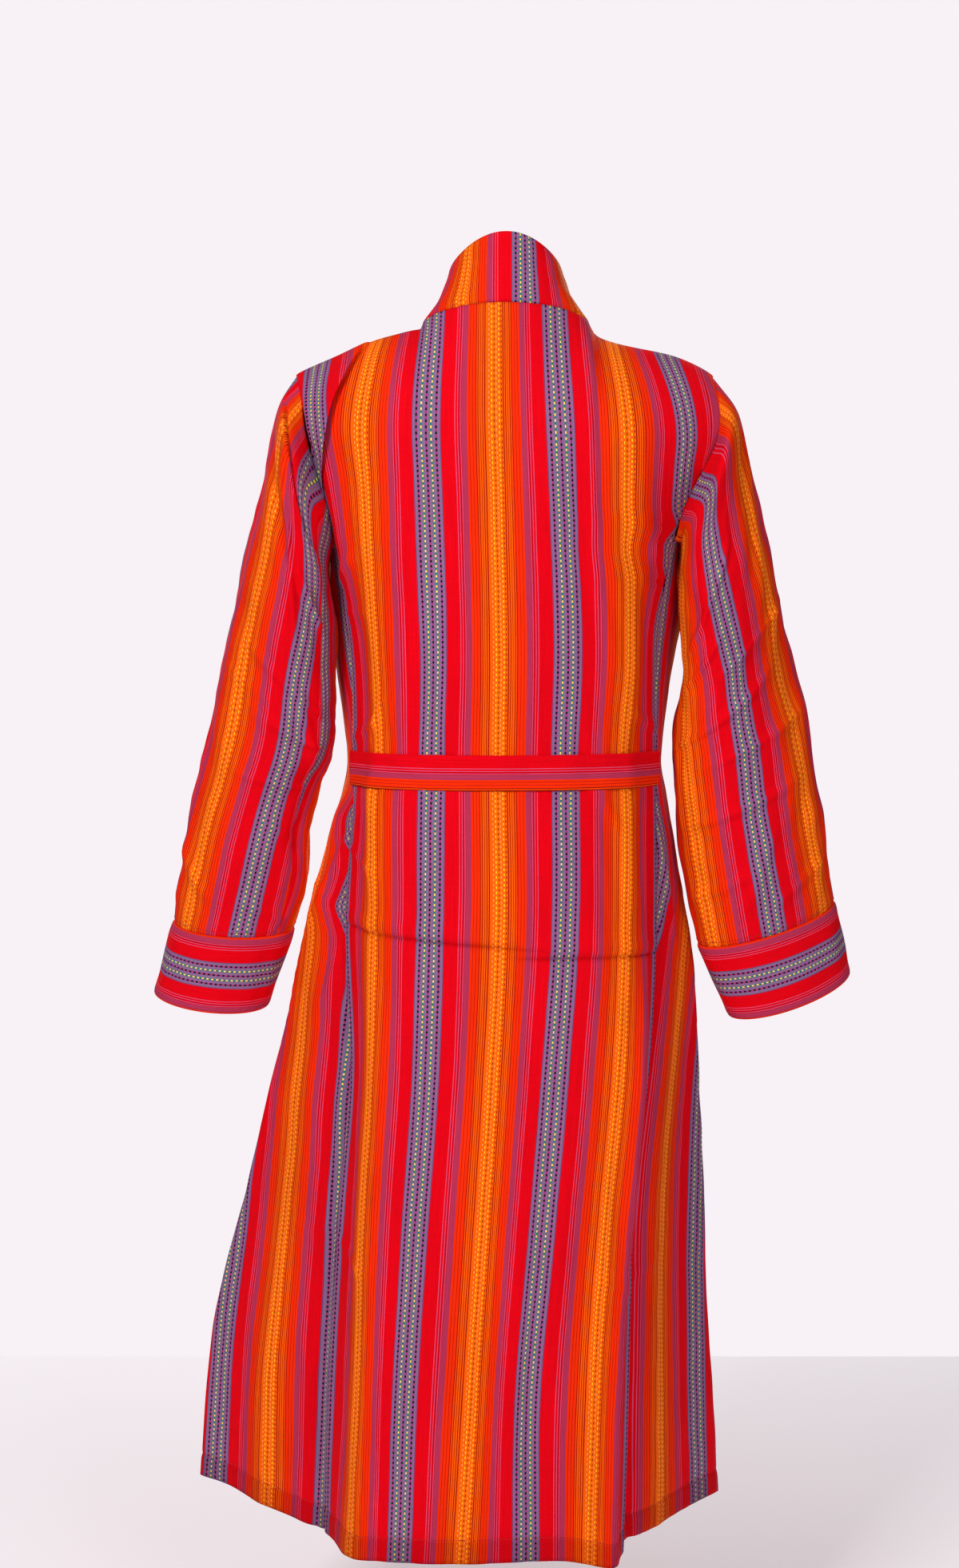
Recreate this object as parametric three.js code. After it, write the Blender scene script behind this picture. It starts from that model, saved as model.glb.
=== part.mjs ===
// A long striped cotton robe in the kimono manner, as worn, with nobody in it.
// Millimetres, +Z up. The back faces +Y and the wearer's left is +X. The origin lies midway between
// the two side-neck points, where the shoulders carry the robe. Each piece is one closed wall that
// follows its seams; u is the cloth's own width measured from the centre back (mm, + to the wearer's
// right) and v is the length of cloth below the neck and shoulder seam.
import * as THREE from "three";

// ---- driving sizes -------------------------------------------------------------------------------
const WALL = 2; // cloth wall
const SEAM_GAP = 0.9; // between the middles of two walls that are sewn together
const RIDGE_GAP = 1.1; // from the shoulder line to the edge of each wall that meets there at an angle
const BODY_LENGTH = 1222; // shoulder point to hem
const YOKE_LENGTH = 130; // depth of the rounded zone below the neck and shoulder seam
const ARMHOLE_DEPTH = 215; // shoulder point to underarm
const NECK_HALF_WIDTH = 87;
const NECK_DEPTH = 60; // how far the back neck stands behind the side-neck points
const NECK_RISE = 18; // centre-back neck above the side-neck points
const SHOULDER_HALF_WIDTH = 222;
const SEAM_U = 195; // cloth width from centre back to a side seam
const LAP_SEPARATION = 7; // between the lapped left and right fronts
const BAND_WIDTH = 72; // collar band
const BELT_TOP = 431; // below the shoulder points
const BELT_HEIGHT = 35;
const BELT_SAG = 3;
const BELT_STAND_OFF = 3.2; // from the middle of the back's wall to the middle of the belt's
const CUFF_DEPTH = 78;

// ---- plan sections of the back -------------------------------------------------------------------
// x and y of the cloth at each station, one row for each length v below the shoulder. The stations
// stand at the stripes, at both side seams and at the crests of the long folds beside those seams.
const BACK_STATIONS = [-SEAM_U, -165, -130, -65, 0, 65, 130, 165, SEAM_U];
const BACK = [
  { v: 130, x: [199, 175, 143, 79, 12, -53, -118, -154, -209], y: [44, 66, 84, 104, 108, 108, 96, 80, 46] },
  { v: 215, x: [175, 168, 140, 76, 10, -56, -118, -149, -172], y: [26, 54, 86, 110, 114, 112, 92, 66, 30] },
  { v: 330, x: [160, 147, 133, 72, 8, -60, -123, -142, -155], y: [18, 46, 76, 106, 113, 108, 84, 56, 26] },
  { v: 440, x: [157, 143, 128, 74, 9, -57, -116, -138, -154], y: [12, 38, 66, 97, 104, 99, 74, 46, 18] },
  { v: 475, x: [156, 146, 135, 74, 9, -58, -119, -139, -154], y: [14, 38, 66, 97, 105, 100, 75, 46, 18] },
  { v: 600, x: [164, 150, 134, 75, 8, -57, -118, -138, -153], y: [22, 50, 80, 108, 115, 108, 86, 58, 28] },
  { v: 750, x: [156, 146, 136, 80, 15, -46, -110, -134, -140], y: [42, 70, 96, 114, 118, 114, 101, 85, 54] },
  { v: 900, x: [169, 154, 144, 91, 25, -33, -95, -119, -124], y: [40, 72, 100, 116, 119, 118, 107, 92, 60] },
  { v: 1060, x: [180, 161, 148, 101, 35, -19, -85, -108, -121], y: [30, 66, 100, 116, 118, 116, 108, 96, 62] },
  { v: 1222, x: [185, 170, 155, 106, 45, -18, -81, -106, -117], y: [22, 60, 98, 114, 117, 112, 103, 92, 56] },
];

// ---- plan sections of the fronts -----------------------------------------------------------------
// tip is where the side of the robe stands out furthest, edge is the seam with the collar band,
// measured from the centre front, and depth is how far the centre front lies before the shoulders.
const FRONT_LEFT = [
  { v: 130, tipX: 196, tipY: -14, depth: 98, edge: 62 },
  { v: 215, tipX: 189, tipY: -44, depth: 114, edge: 40 },
  { v: 285, tipX: 186, tipY: -44, depth: 114, edge: 22 },
  { v: 330, tipX: 178, tipY: -42, depth: 112, edge: 12 },
  { v: 440, tipX: 162, tipY: -34, depth: 104, edge: 8 },
  { v: 475, tipX: 168, tipY: -30, depth: 104, edge: 8 },
  { v: 600, tipX: 205, tipY: -28, depth: 112, edge: 8 },
  { v: 750, tipX: 240, tipY: -44, depth: 122, edge: 8 },
  { v: 900, tipX: 272, tipY: -58, depth: 132, edge: 8 },
  { v: 1060, tipX: 311, tipY: -74, depth: 142, edge: 8 },
  { v: 1222, tipX: 321, tipY: -85, depth: 150, edge: 8 },
];
const FRONT_RIGHT = [
  { v: 130, tipX: -206, tipY: -14, depth: 98, edge: 62 },
  { v: 215, tipX: -187, tipY: -48, depth: 114, edge: 40 },
  { v: 285, tipX: -187, tipY: -44, depth: 114, edge: 22 },
  { v: 330, tipX: -178, tipY: -42, depth: 112, edge: 12 },
  { v: 440, tipX: -162, tipY: -34, depth: 104, edge: 8 },
  { v: 475, tipX: -168, tipY: -31, depth: 104, edge: 8 },
  { v: 600, tipX: -190, tipY: -36, depth: 112, edge: 8 },
  { v: 750, tipX: -204, tipY: -50, depth: 122, edge: 8 },
  { v: 900, tipX: -208, tipY: -60, depth: 132, edge: 8 },
  { v: 1060, tipX: -217, tipY: -70, depth: 142, edge: 8 },
  { v: 1222, tipX: -226, tipY: -80, depth: 150, edge: 8 },
];
const CENTRE_FRONT = [{ v: 0, x: 0 }, { v: 475, x: 0 }, { v: 1222, x: 34 }];
const FRONT_ROUNDNESS = 2.5; // power of the superellipse that rounds a front from its tip to the centre
// The hem rises towards the tip of each side, more on the left, and dips at the crest of the right fold.
const FLARE_LIFT = { left: 20, right: 4, fromV: 600, overV: 600, share: 0.38 };
const HEM_DIP = { u: 160, width: 40, depth: 11, fromV: 1000 };
// Soft vertical folds in each front, between the side and the collar band.
const EASE = { folds: 3, height: 7, fromV: 250, overV: 500, fromShare: 0.34, toShare: 0.82, fade: 0.2 };

// ---- how the cloth turns over the shoulders --------------------------------------------------------
const WORN_CENTRE_X = 13; // the robe sits this far to the left of the neck
const SHOULDER_SPREAD = 0.6; // how far the shoulder seam spaces the cloth out by its own width
// Drop of each shoulder seam below the side-neck point, by share of the shoulder's width.
const SHOULDER_LINE = [
  { out: 0, left: 0, right: 1 },
  { out: 0.06, left: 1, right: 8 },
  { out: 0.18, left: 5, right: 14 },
  { out: 0.34, left: 11, right: 19 },
  { out: 0.49, left: 19, right: 23 },
  { out: 0.64, left: 28, right: 28 },
  { out: 0.8, left: 37, right: 37 },
  { out: 0.97, left: 47, right: 50 },
  { out: 1.2, left: 60, right: 66 },
];
// How far the cloth is eased towards the neck along the shoulder seams, by its place across the back.
const SEAM_EASE = [
  { u: -218, x: -3 },
  { u: -195, x: -11 },
  { u: -130, x: -12 },
  { u: -65, x: -4 },
  { u: 0, x: 0 },
  { u: 65, x: 4 },
  { u: 130, x: 9 },
  { u: 195, x: 24 },
  { u: 242, x: 8 },
];
const SHOULDER_SLOPE = { y: 0.93, z: -0.36 }; // direction of the back as it leaves the shoulder seam
const NECK_SLOPE = { y: 0.45, z: -0.9 }; // and as it leaves the back neck
const FRONT_SLOPE = { y: -0.9, z: -0.4 }; // direction of a front as it leaves the shoulder seam
const CHEST_SLOPE = { y: -0.15, z: -1 }; // and where the rounded zone ends
const FULLNESS = 1.05; // pull of those directions, against the straight distance
const SLOPE_STEP = 20; // length of cloth over which a direction is measured

// ---- sleeves: each row a ring from its outer to its inner point -----------------------------------
const RING_SKEW = 0.4; // how far a turned ring's back leans outwards, against its turn
const SLEEVE_HEAD = { out: 2.4, drop: 1, underarmDrop: 1.2 }; // sleeve seam, outside the armhole's edge
const SLEEVE_LEFT = [
  { outX: 232, outZ: -84, inX: 186, inZ: -228, depth: 70, y: 10, turn: 0, tilt: 0 },
  { outX: 247, outZ: -162, inX: 179, inZ: -272, depth: 64, y: 12, turn: 0, tilt: 0.03 },
  { outX: 267, outZ: -236, inX: 174, inZ: -322, depth: 59, y: 8, turn: 0, tilt: 0.06 },
  { outX: 285, outZ: -309, inX: 174, inZ: -379, depth: 55, y: -3, turn: 0, tilt: 0.1 },
  { outX: 304, outZ: -400, inX: 178, inZ: -433, depth: 51, y: -14, turn: 0, tilt: 0.14 },
  { outX: 317, outZ: -454, inX: 191, inZ: -466, depth: 49, y: -22, turn: 0, tilt: 0.17 },
  { outX: 328, outZ: -503, inX: 203, inZ: -512, depth: 47, y: -28, turn: 0, tilt: 0.2 },
  { outX: 337, outZ: -558, inX: 206, inZ: -562, depth: 46, y: -34, turn: 0, tilt: 0.22 },
  { outX: 345, outZ: -609, inX: 220, inZ: -616, depth: 45, y: -40, turn: 0, tilt: 0.24 },
];
const SLEEVE_RIGHT = [
  { outX: -235, outZ: -86, inX: -187, inZ: -218, depth: 70, y: 10, turn: 0, tilt: 0 },
  { outX: -245, outZ: -134, inX: -178, inZ: -256, depth: 64, y: 10, turn: 0.06, tilt: 0.03 },
  { outX: -261, outZ: -196, inX: -181, inZ: -304, depth: 59, y: 6, turn: 0.12, tilt: 0.06 },
  { outX: -279, outZ: -264, inX: -180, inZ: -357, depth: 56, y: -3, turn: 0.18, tilt: 0.1 },
  { outX: -295, outZ: -338, inX: -174, inZ: -404, depth: 53, y: -12, turn: 0.22, tilt: 0.14 },
  { outX: -312, outZ: -404, inX: -173, inZ: -441, depth: 51, y: -17, turn: 0.24, tilt: 0.17 },
  { outX: -323, outZ: -475, inX: -177, inZ: -487, depth: 49, y: -23, turn: 0.24, tilt: 0.2 },
  { outX: -333, outZ: -533, inX: -184, inZ: -549, depth: 47, y: -30, turn: 0.24, tilt: 0.22 },
  { outX: -344, outZ: -594, inX: -199, inZ: -628, depth: 45, y: -38, turn: 0.24, tilt: 0.24 },
];
// The open end of each cuff, in the same columns.
const CUFF_END_LEFT = { outX: 366, outZ: -683, inX: 248, inZ: -696, depth: 44, y: -50, turn: 0, tilt: 0.26 };
const CUFF_END_RIGHT = { outX: -361, outZ: -669, inX: -232, inZ: -700, depth: 44, y: -48, turn: 0.24,
  tilt: 0.3 };

// How far the armhole cuts into each front, measured along the cloth from the back's armhole edge.
const ARMHOLE_CUT = [{ v: 130, cut: 104 }, { v: 170, cut: 88 }, { v: 200, cut: 50 }, { v: 215, cut: 0 }];

// ---- collar band: it stands round the neck and lies along both front edges --------------------------
const COLLAR_TOP = { halfWidth: 56, y: -10, depth: 60, centreZ: 91, sideZ: 64 };
const COLLAR_HOLLOW = 5; // the standing band curves in between its two edges
// Free edge of the band below the side-neck point, before it lies flat on the chest.
const COLLAR_TURN = [
  { v: 0, x: 55, y: -10, z: 64 },
  { v: 45, x: 36, y: -58, z: 22 },
  { v: 90, x: 12, y: -92, z: -44 },
];

// ---- folds, each a soft ridge (+) or trough (-) along a line from one end to the other -------------
const BACK_FOLDS = [
  { u0: -140, v0: 30, u1: -186, v1: 150, width: 13, height: -9 },
  { u0: -176, v0: 60, u1: -200, v1: 190, width: 15, height: 8 },
  { u0: 118, v0: 90, u1: 112, v1: 400, width: 12, height: 3 },
  { u0: -112, v0: 700, u1: -116, v1: 1222, width: 12, height: 5 },
  { u0: 160, v0: 640, u1: 162, v1: 1222, width: 11, height: 6 },
  { u0: 36, v0: 640, u1: 30, v1: 1222, width: 30, height: 3 },
];
const FOLD_FADE = { before: 0.15, over: 0.4 }; // shares of a fold's length over which it dies away
const FOLD_LEAN = 0.0016; // how far a ridge draws the cloth beside it in, for each mm of u

// ---- helpers -------------------------------------------------------------------------------------
const clamp01 = (t) => Math.min(1, Math.max(0, t));
const smooth = (t) => clamp01(t) ** 2 * (3 - 2 * clamp01(t));
const mix = (a, b, t) => a + (b - a) * t;

// A smooth curve through the (key, value) pairs of a table, held level past its ends.
function along(rows, key, column, at) {
  const last = rows.length - 1;
  if (at <= rows[0][key]) return rows[0][column];
  if (at >= rows[last][key]) return rows[last][column];
  let i = 0;
  while (rows[i + 1][key] < at) i += 1;
  const [a, b] = [rows[i], rows[i + 1]];
  const [before, after] = [rows[Math.max(0, i - 1)], rows[Math.min(last, i + 2)]];
  const span = b[key] - a[key];
  const slopeA = ((b[column] - before[column]) / (b[key] - before[key])) * span;
  const slopeB = ((after[column] - a[column]) / (after[key] - a[key])) * span;
  const t = (at - a[key]) / span;
  return (2 * t ** 3 - 3 * t ** 2 + 1) * a[column] + (t ** 3 - 2 * t ** 2 + t) * slopeA
    + (3 * t ** 2 - 2 * t ** 3) * b[column] + (t ** 3 - t ** 2) * slopeB;
}

// A place on the curve that leaves one point along fromSlope and reaches another along toSlope.
function bridge(from, fromSlope, to, toSlope, t) {
  const reach = from.distanceTo(to) * FULLNESS;
  return from.clone().multiplyScalar(2 * t ** 3 - 3 * t ** 2 + 1)
    .addScaledVector(fromSlope, (t ** 3 - 2 * t ** 2 + t) * reach)
    .addScaledVector(to, 3 * t ** 2 - 2 * t ** 3)
    .addScaledVector(toSlope, (t ** 3 - t ** 2) * reach);
}

// The neck and shoulder seam at a place x across the body.
function shoulderPoint(x) {
  const share = Math.abs(x) / NECK_HALF_WIDTH;
  if (share < 1) {
    const round = Math.sqrt(1 - share ** 2);
    return new THREE.Vector3(x, NECK_DEPTH * round, NECK_RISE * round);
  }
  const out = (Math.abs(x) - NECK_HALF_WIDTH) / (SHOULDER_HALF_WIDTH - NECK_HALF_WIDTH);
  return new THREE.Vector3(x, 0, -along(SHOULDER_LINE, "out", x > 0 ? "left" : "right", out));
}

// Points of a closed tube: angle 0 on its outer side, going round by the back.
function tubeGrid(around, rows, pointAt) {
  return Array.from({ length: around }, (_, i) =>
    Array.from({ length: rows + 1 }, (_, j) => pointAt((i / around) * Math.PI * 2, j / rows)));
}

// Height of the fold table at a place on a panel.
function foldHeight(folds, u, v) {
  let height = 0;
  for (const fold of folds) {
    const t = (v - fold.v0) / (fold.v1 - fold.v0);
    const fade = smooth((t + FOLD_FADE.before) / FOLD_FADE.over)
      * smooth((1 + FOLD_FADE.before - t) / FOLD_FADE.over);
    const away = (u - mix(fold.u0, fold.u1, t)) / fold.width;
    height += fold.height * fade * Math.exp(-away * away);
  }
  return height;
}

// A closed wall of the cloth's thickness on a grid of its middle points, grid[across][down].
function clothWall(grid, isTube) {
  const [columns, rows] = [grid.length, grid[0].length];
  const at = (i, j) => grid[isTube ? (i + columns) % columns : Math.min(columns - 1, Math.max(0, i))][
    Math.min(rows - 1, Math.max(0, j))];
  const positions = [];
  for (const side of [1, -1]) {
    for (let i = 0; i < columns; i += 1) {
      for (let j = 0; j < rows; j += 1) {
        const acrossStep = at(i + 1, j).clone().sub(at(i - 1, j));
        const downStep = at(i, j + 1).clone().sub(at(i, j - 1));
        const normal = acrossStep.cross(downStep).normalize();
        const point = at(i, j).clone().addScaledVector(normal, (side * WALL) / 2);
        positions.push(point.x, point.y, point.z);
      }
    }
  }
  const index = [];
  const corner = (side, i, j) => side * columns * rows + (i % columns) * rows + j;
  const quad = (a, b, c, d) => index.push(a, b, c, a, c, d);
  const cells = isTube ? columns : columns - 1;
  for (let i = 0; i < cells; i += 1) {
    for (let j = 0; j < rows - 1; j += 1) {
      quad(corner(0, i, j), corner(0, i + 1, j), corner(0, i + 1, j + 1), corner(0, i, j + 1));
      quad(corner(1, i, j), corner(1, i, j + 1), corner(1, i + 1, j + 1), corner(1, i + 1, j));
    }
    quad(corner(0, i, 0), corner(1, i, 0), corner(1, i + 1, 0), corner(0, i + 1, 0));
    quad(corner(0, i, rows - 1), corner(0, i + 1, rows - 1), corner(1, i + 1, rows - 1),
      corner(1, i, rows - 1));
  }
  if (!isTube) {
    for (let j = 0; j < rows - 1; j += 1) {
      quad(corner(0, 0, j), corner(0, 0, j + 1), corner(1, 0, j + 1), corner(1, 0, j));
      quad(corner(0, columns - 1, j), corner(1, columns - 1, j), corner(1, columns - 1, j + 1),
        corner(0, columns - 1, j + 1));
    }
  }
  const geometry = new THREE.BufferGeometry();
  geometry.setAttribute("position", new THREE.Float32BufferAttribute(positions, 3));
  geometry.setIndex(index);
  return geometry;
}

function grid(columns, rows, pointAt) {
  return Array.from({ length: columns + 1 }, (_, i) =>
    Array.from({ length: rows + 1 }, (_, j) => pointAt(i / columns, j / rows)));
}

// ---- how finely each wall is divided ---------------------------------------------------------------
const BACK_GRID = { columns: 34, rows: 28 };
const FRONT_GRID = { columns: 18, rows: 26 };
const SLEEVE_GRID = { around: 26, rows: 18 };
const ROW_SPREAD = 1.2; // rows stand closer near the shoulders
const CUFF_ROWS = 2;
const BAND_COLUMNS = 3;
const SECTION_STEPS = 20; // points along the plan curve of a front
const RING_STEPS = 40; // points down each half of an armhole
const FRONT_SEAM_SHARE = 0.003; // share of a front's width left open at its side seam

// ---- the back ------------------------------------------------------------------------------------
const BACK_EDGE_U = [
  { v: 0, left: -218, right: 242 },
  { v: YOKE_LENGTH, left: -207, right: 234 },
  { v: ARMHOLE_DEPTH, left: -195, right: 195 },
  { v: BODY_LENGTH, left: -195, right: 195 },
];

const BACK_CURVES = BACK_STATIONS.map((_, k) => BACK.map(({ v, x, y }) => ({ v, x: x[k], y: y[k] })));

// Plan point of the back at a length v at or below the yoke. Above the underarm the first and last
// stations are the armhole's edges.
function backSection(u, v) {
  const across = BACK_STATIONS.map((stationU, k) => ({
    u: stationU,
    x: along(BACK_CURVES[k], "v", "x", v),
    y: along(BACK_CURVES[k], "v", "y", v),
  }));
  across[0].u = along(BACK_EDGE_U, "v", "left", v);
  across[across.length - 1].u = along(BACK_EDGE_U, "v", "right", v);
  return new THREE.Vector3(along(across, "u", "x", u), along(across, "u", "y", u), -v);
}

function backPoint(u, v) {
  let point;
  if (v >= YOKE_LENGTH) point = backSection(u, v);
  else {
    const low = backSection(u, YOKE_LENGTH);
    const lowSlope = backSection(u, YOKE_LENGTH + SLOPE_STEP).sub(low).divideScalar(SLOPE_STEP);
    const eased = along(SEAM_EASE, "u", "x", u);
    const top = shoulderPoint(mix(low.x, WORN_CENTRE_X - u, SHOULDER_SPREAD) + eased);
    const neckShare = smooth(top.y / NECK_DEPTH);
    const slopeY = mix(SHOULDER_SLOPE.y, NECK_SLOPE.y, neckShare);
    const slopeZ = mix(SHOULDER_SLOPE.z, NECK_SLOPE.z, neckShare);
    point = bridge(top, new THREE.Vector3(0, slopeY, slopeZ), low, lowSlope, v / YOKE_LENGTH);
  }
  const lift = foldHeight(BACK_FOLDS, u, v);
  const dip = HEM_DIP.depth * smooth((v - HEM_DIP.fromV) / (BODY_LENGTH - HEM_DIP.fromV))
    * Math.exp(-(((u - HEM_DIP.u) / HEM_DIP.width) ** 2));
  return new THREE.Vector3(point.x - lift * FOLD_LEAN * u, point.y + lift, point.z - dip);
}

// ---- the fronts ----------------------------------------------------------------------------------
// side is +1 for the wearer's left front, which laps over the right one.
const frontOf = (side) => (side > 0 ? FRONT_LEFT : FRONT_RIGHT);
const armholeEdge = (side, v) => along(BACK_EDGE_U, "v", side > 0 ? "left" : "right", v);

// How far a front stands before the shoulders at a place x, between its tip and the centre front.
function frontY(side, layer, x, v) {
  const table = frontOf(side);
  const tipY = along(table, "v", "tipY", v);
  const depth = along(table, "v", "depth", v) + (layer * LAP_SEPARATION) / 2;
  const centreX = along(CENTRE_FRONT, "v", "x", v);
  const share = Math.min(1, Math.abs(x - centreX) / Math.abs(along(table, "v", "tipX", v) - centreX));
  return tipY - (depth + tipY) * (1 - share ** FRONT_ROUNDNESS) ** (1 / FRONT_ROUNDNESS);
}

// The plan curve of a front at v, from its side seam or armhole to the collar seam.
function frontSection(side, v) {
  const table = frontOf(side);
  const seam = backSection(armholeEdge(side, v), v);
  const tipX = along(table, "v", "tipX", v);
  const centreX = along(CENTRE_FRONT, "v", "x", v);
  const edgeX = centreX + side * along(table, "v", "edge", v);
  const points = [{ x: seam.x, y: seam.y }];
  const edgeShare = Math.abs(edgeX - centreX) / Math.abs(tipX - centreX);
  const lastAngle = Math.acos(edgeShare ** (FRONT_ROUNDNESS / 2));
  for (let k = 0; k <= SECTION_STEPS; k += 1) {
    const share = Math.cos((k / SECTION_STEPS) * lastAngle) ** (2 / FRONT_ROUNDNESS);
    const x = centreX + (tipX - centreX) * share;
    points.push({ x, y: frontY(side, side, x, v) });
  }
  points[0].s = 0;
  for (let k = 1; k < points.length; k += 1) {
    const step = Math.hypot(points[k].x - points[k - 1].x, points[k].y - points[k - 1].y);
    points[k].s = points[k - 1].s + step;
  }
  return points;
}

function frontPoint(side, share, v) {
  const low = Math.max(v, YOKE_LENGTH);
  const section = frontSection(side, low);
  const start = low < ARMHOLE_DEPTH ? along(ARMHOLE_CUT, "v", "cut", low) : 0;
  const s = mix(start, section[section.length - 1].s, share);
  const tipShare = smooth(1 - Math.abs(share - FLARE_LIFT.share) / FLARE_LIFT.share);
  const height = side > 0 ? FLARE_LIFT.left : FLARE_LIFT.right;
  const lift = height * smooth((v - FLARE_LIFT.fromV) / FLARE_LIFT.overV) * tipShare;
  const ease = smooth((v - EASE.fromV) / EASE.overV) * smooth((share - EASE.fromShare) / EASE.fade)
    * smooth((EASE.toShare - share) / EASE.fade);
  const wave = EASE.height * ease * Math.sin(share * Math.PI * 2 * EASE.folds);
  const y = along(section, "s", "y", s) - wave;
  const point = new THREE.Vector3(along(section, "s", "x", s), y, lift - low);
  if (v >= YOKE_LENGTH) return point;
  const top = shoulderPoint(mix(backPoint(armholeEdge(side, 0), 0).x, side * NECK_HALF_WIDTH, share));
  const leaves = new THREE.Vector3(0, FRONT_SLOPE.y, FRONT_SLOPE.z);
  return bridge(top, leaves, point, new THREE.Vector3(0, CHEST_SLOPE.y, CHEST_SLOPE.z), v / YOKE_LENGTH);
}

// ---- sleeves and cuffs ---------------------------------------------------------------------------
function ringPoint(row, angle) {
  const centre = new THREE.Vector3((row.outX + row.inX) / 2, row.y, (row.outZ + row.inZ) / 2);
  const half = new THREE.Vector3((row.outX - row.inX) / 2, 0, (row.outZ - row.inZ) / 2);
  const back = new THREE.Vector3(0, row.depth, -row.depth * row.tilt);
  const outward = half.clone().addScaledVector(back, -row.turn);
  const backward = back.clone().addScaledVector(half, -row.turn * RING_SKEW);
  return centre.addScaledVector(outward, Math.cos(angle)).addScaledVector(backward, Math.sin(angle));
}

// The armhole, as a closed ring: down the back's edge to the underarm, then up the front's edge.
function armholeRing(side) {
  const halves = [
    (t) => backPoint(armholeEdge(side, ARMHOLE_DEPTH * t), ARMHOLE_DEPTH * t),
    (t) => frontPoint(side, 0, ARMHOLE_DEPTH * (1 - t)),
  ];
  return halves.map((pointAt) => {
    const rows = [];
    for (let k = 0; k <= RING_STEPS; k += 1) {
      const { x, y, z } = pointAt(k / RING_STEPS);
      const before = rows[k - 1];
      rows.push({ x, y, z, s: before ? before.s + Math.hypot(x - before.x, y - before.y, z - before.z) : 0 });
    }
    return rows;
  });
}

// The sleeve seam stands just outside the armhole, further out under the arm where the wall turns.
function sleeveHead(side, ring, angle) {
  const turn = angle / Math.PI;
  const rows = turn <= 1 ? ring[0] : ring[1];
  const s = (turn <= 1 ? turn : turn - 1) * rows[rows.length - 1].s;
  const under = smooth(1 - 2 * Math.abs(turn - 1));
  return new THREE.Vector3(along(rows, "s", "x", s), along(rows, "s", "y", s), along(rows, "s", "z", s))
    .add(new THREE.Vector3(side * SLEEVE_HEAD.out, 0, -SLEEVE_HEAD.drop - SLEEVE_HEAD.underarmDrop * under));
}

function sleevePoint(rings, angle, t) {
  const rows = rings.map((ringAt, k) => ({ k, ...ringAt(angle) }));
  const at = t * (rings.length - 1);
  return new THREE.Vector3(along(rows, "k", "x", at), along(rows, "k", "y", at), along(rows, "k", "z", at));
}

// ---- collar --------------------------------------------------------------------------------------
const COLLAR_FLAT_V = 130; // from here down the band lies flat
const COLLAR_STAND_DROP = 60; // below the side-neck point the band loses its hollow over this height
const NECK_END_GAP = 0.01; // keeps the last neck station on the neck curve
const NECK_STEPS = 12; // stations round the back of the neck
const BAND_AHEAD = 8; // length of seam over which the band's lean is measured

function bandStation(side, v) {
  const seam = frontPoint(side, 1, v);
  const gapped = seam.clone();
  let free;
  if (v >= COLLAR_FLAT_V) {
    const ahead = frontPoint(side, 1, v + BAND_AHEAD);
    const lean = Math.atan2(side * (seam.x - ahead.x), seam.z - ahead.z);
    const x = seam.x - side * BAND_WIDTH * Math.cos(lean);
    const sideOfX = x > along(CENTRE_FRONT, "v", "x", v) ? 1 : -1;
    free = new THREE.Vector3(x, frontY(sideOfX, side, x, v), seam.z + BAND_WIDTH * Math.sin(lean));
    gapped.x -= side * SEAM_GAP;
  } else {
    const rows = [...COLLAR_TURN];
    const flat = bandStation(side, COLLAR_FLAT_V).free;
    rows.push({ v: COLLAR_FLAT_V, x: side * flat.x, y: flat.y, z: flat.z });
    const [x, y, z] = ["x", "y", "z"].map((column) => along(rows, "v", column, v));
    free = new THREE.Vector3(side * x, y, z);
    gapped.addScaledVector(free.clone().sub(seam).normalize(), SEAM_GAP);
  }
  return { seam: gapped, free };
}

// A station of the standing band, angle +90 at the left side-neck point and -90 at the right one.
function neckStation(angle) {
  const turn = Math.sin(angle);
  const seam = shoulderPoint((NECK_HALF_WIDTH - NECK_END_GAP) * turn);
  const height = mix(COLLAR_TOP.centreZ, COLLAR_TOP.sideZ, turn ** 2);
  const y = COLLAR_TOP.y + COLLAR_TOP.depth * Math.cos(angle);
  const free = new THREE.Vector3(COLLAR_TOP.halfWidth * turn, y, height);
  seam.addScaledVector(free.clone().sub(seam).normalize(), SEAM_GAP);
  return { seam, free };
}

function collarStations() {
  const frontSide = (side) => Array.from({ length: FRONT_GRID.rows }, (_, k) =>
    bandStation(side, BODY_LENGTH * ((k + 1) / FRONT_GRID.rows) ** ROW_SPREAD));
  const neck = Array.from({ length: NECK_STEPS + 1 }, (_, k) =>
    neckStation(Math.PI * (0.5 - k / NECK_STEPS)));
  return [...frontSide(1).reverse(), ...neck, ...frontSide(-1)];
}

// ---- assembly ------------------------------------------------------------------------------------
const cottonRed = () => new THREE.MeshStandardMaterial({ color: 0xd2201a, roughness: 0.85, metalness: 0 });
const robe = new THREE.Group();

function addPiece(name, geometry) {
  const mesh = new THREE.Mesh(geometry, cottonRed());
  mesh.name = name;
  robe.add(mesh);
}

addPiece("back", clothWall(grid(BACK_GRID.columns, BACK_GRID.rows, (i, j) => {
  const v = BODY_LENGTH * j ** ROW_SPREAD;
  const left = armholeEdge(1, v) + SEAM_GAP / 2;
  const right = armholeEdge(-1, v) - SEAM_GAP / 2;
  return backPoint(mix(left, right, i), v + RIDGE_GAP * (1 - j));
}), false));

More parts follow.
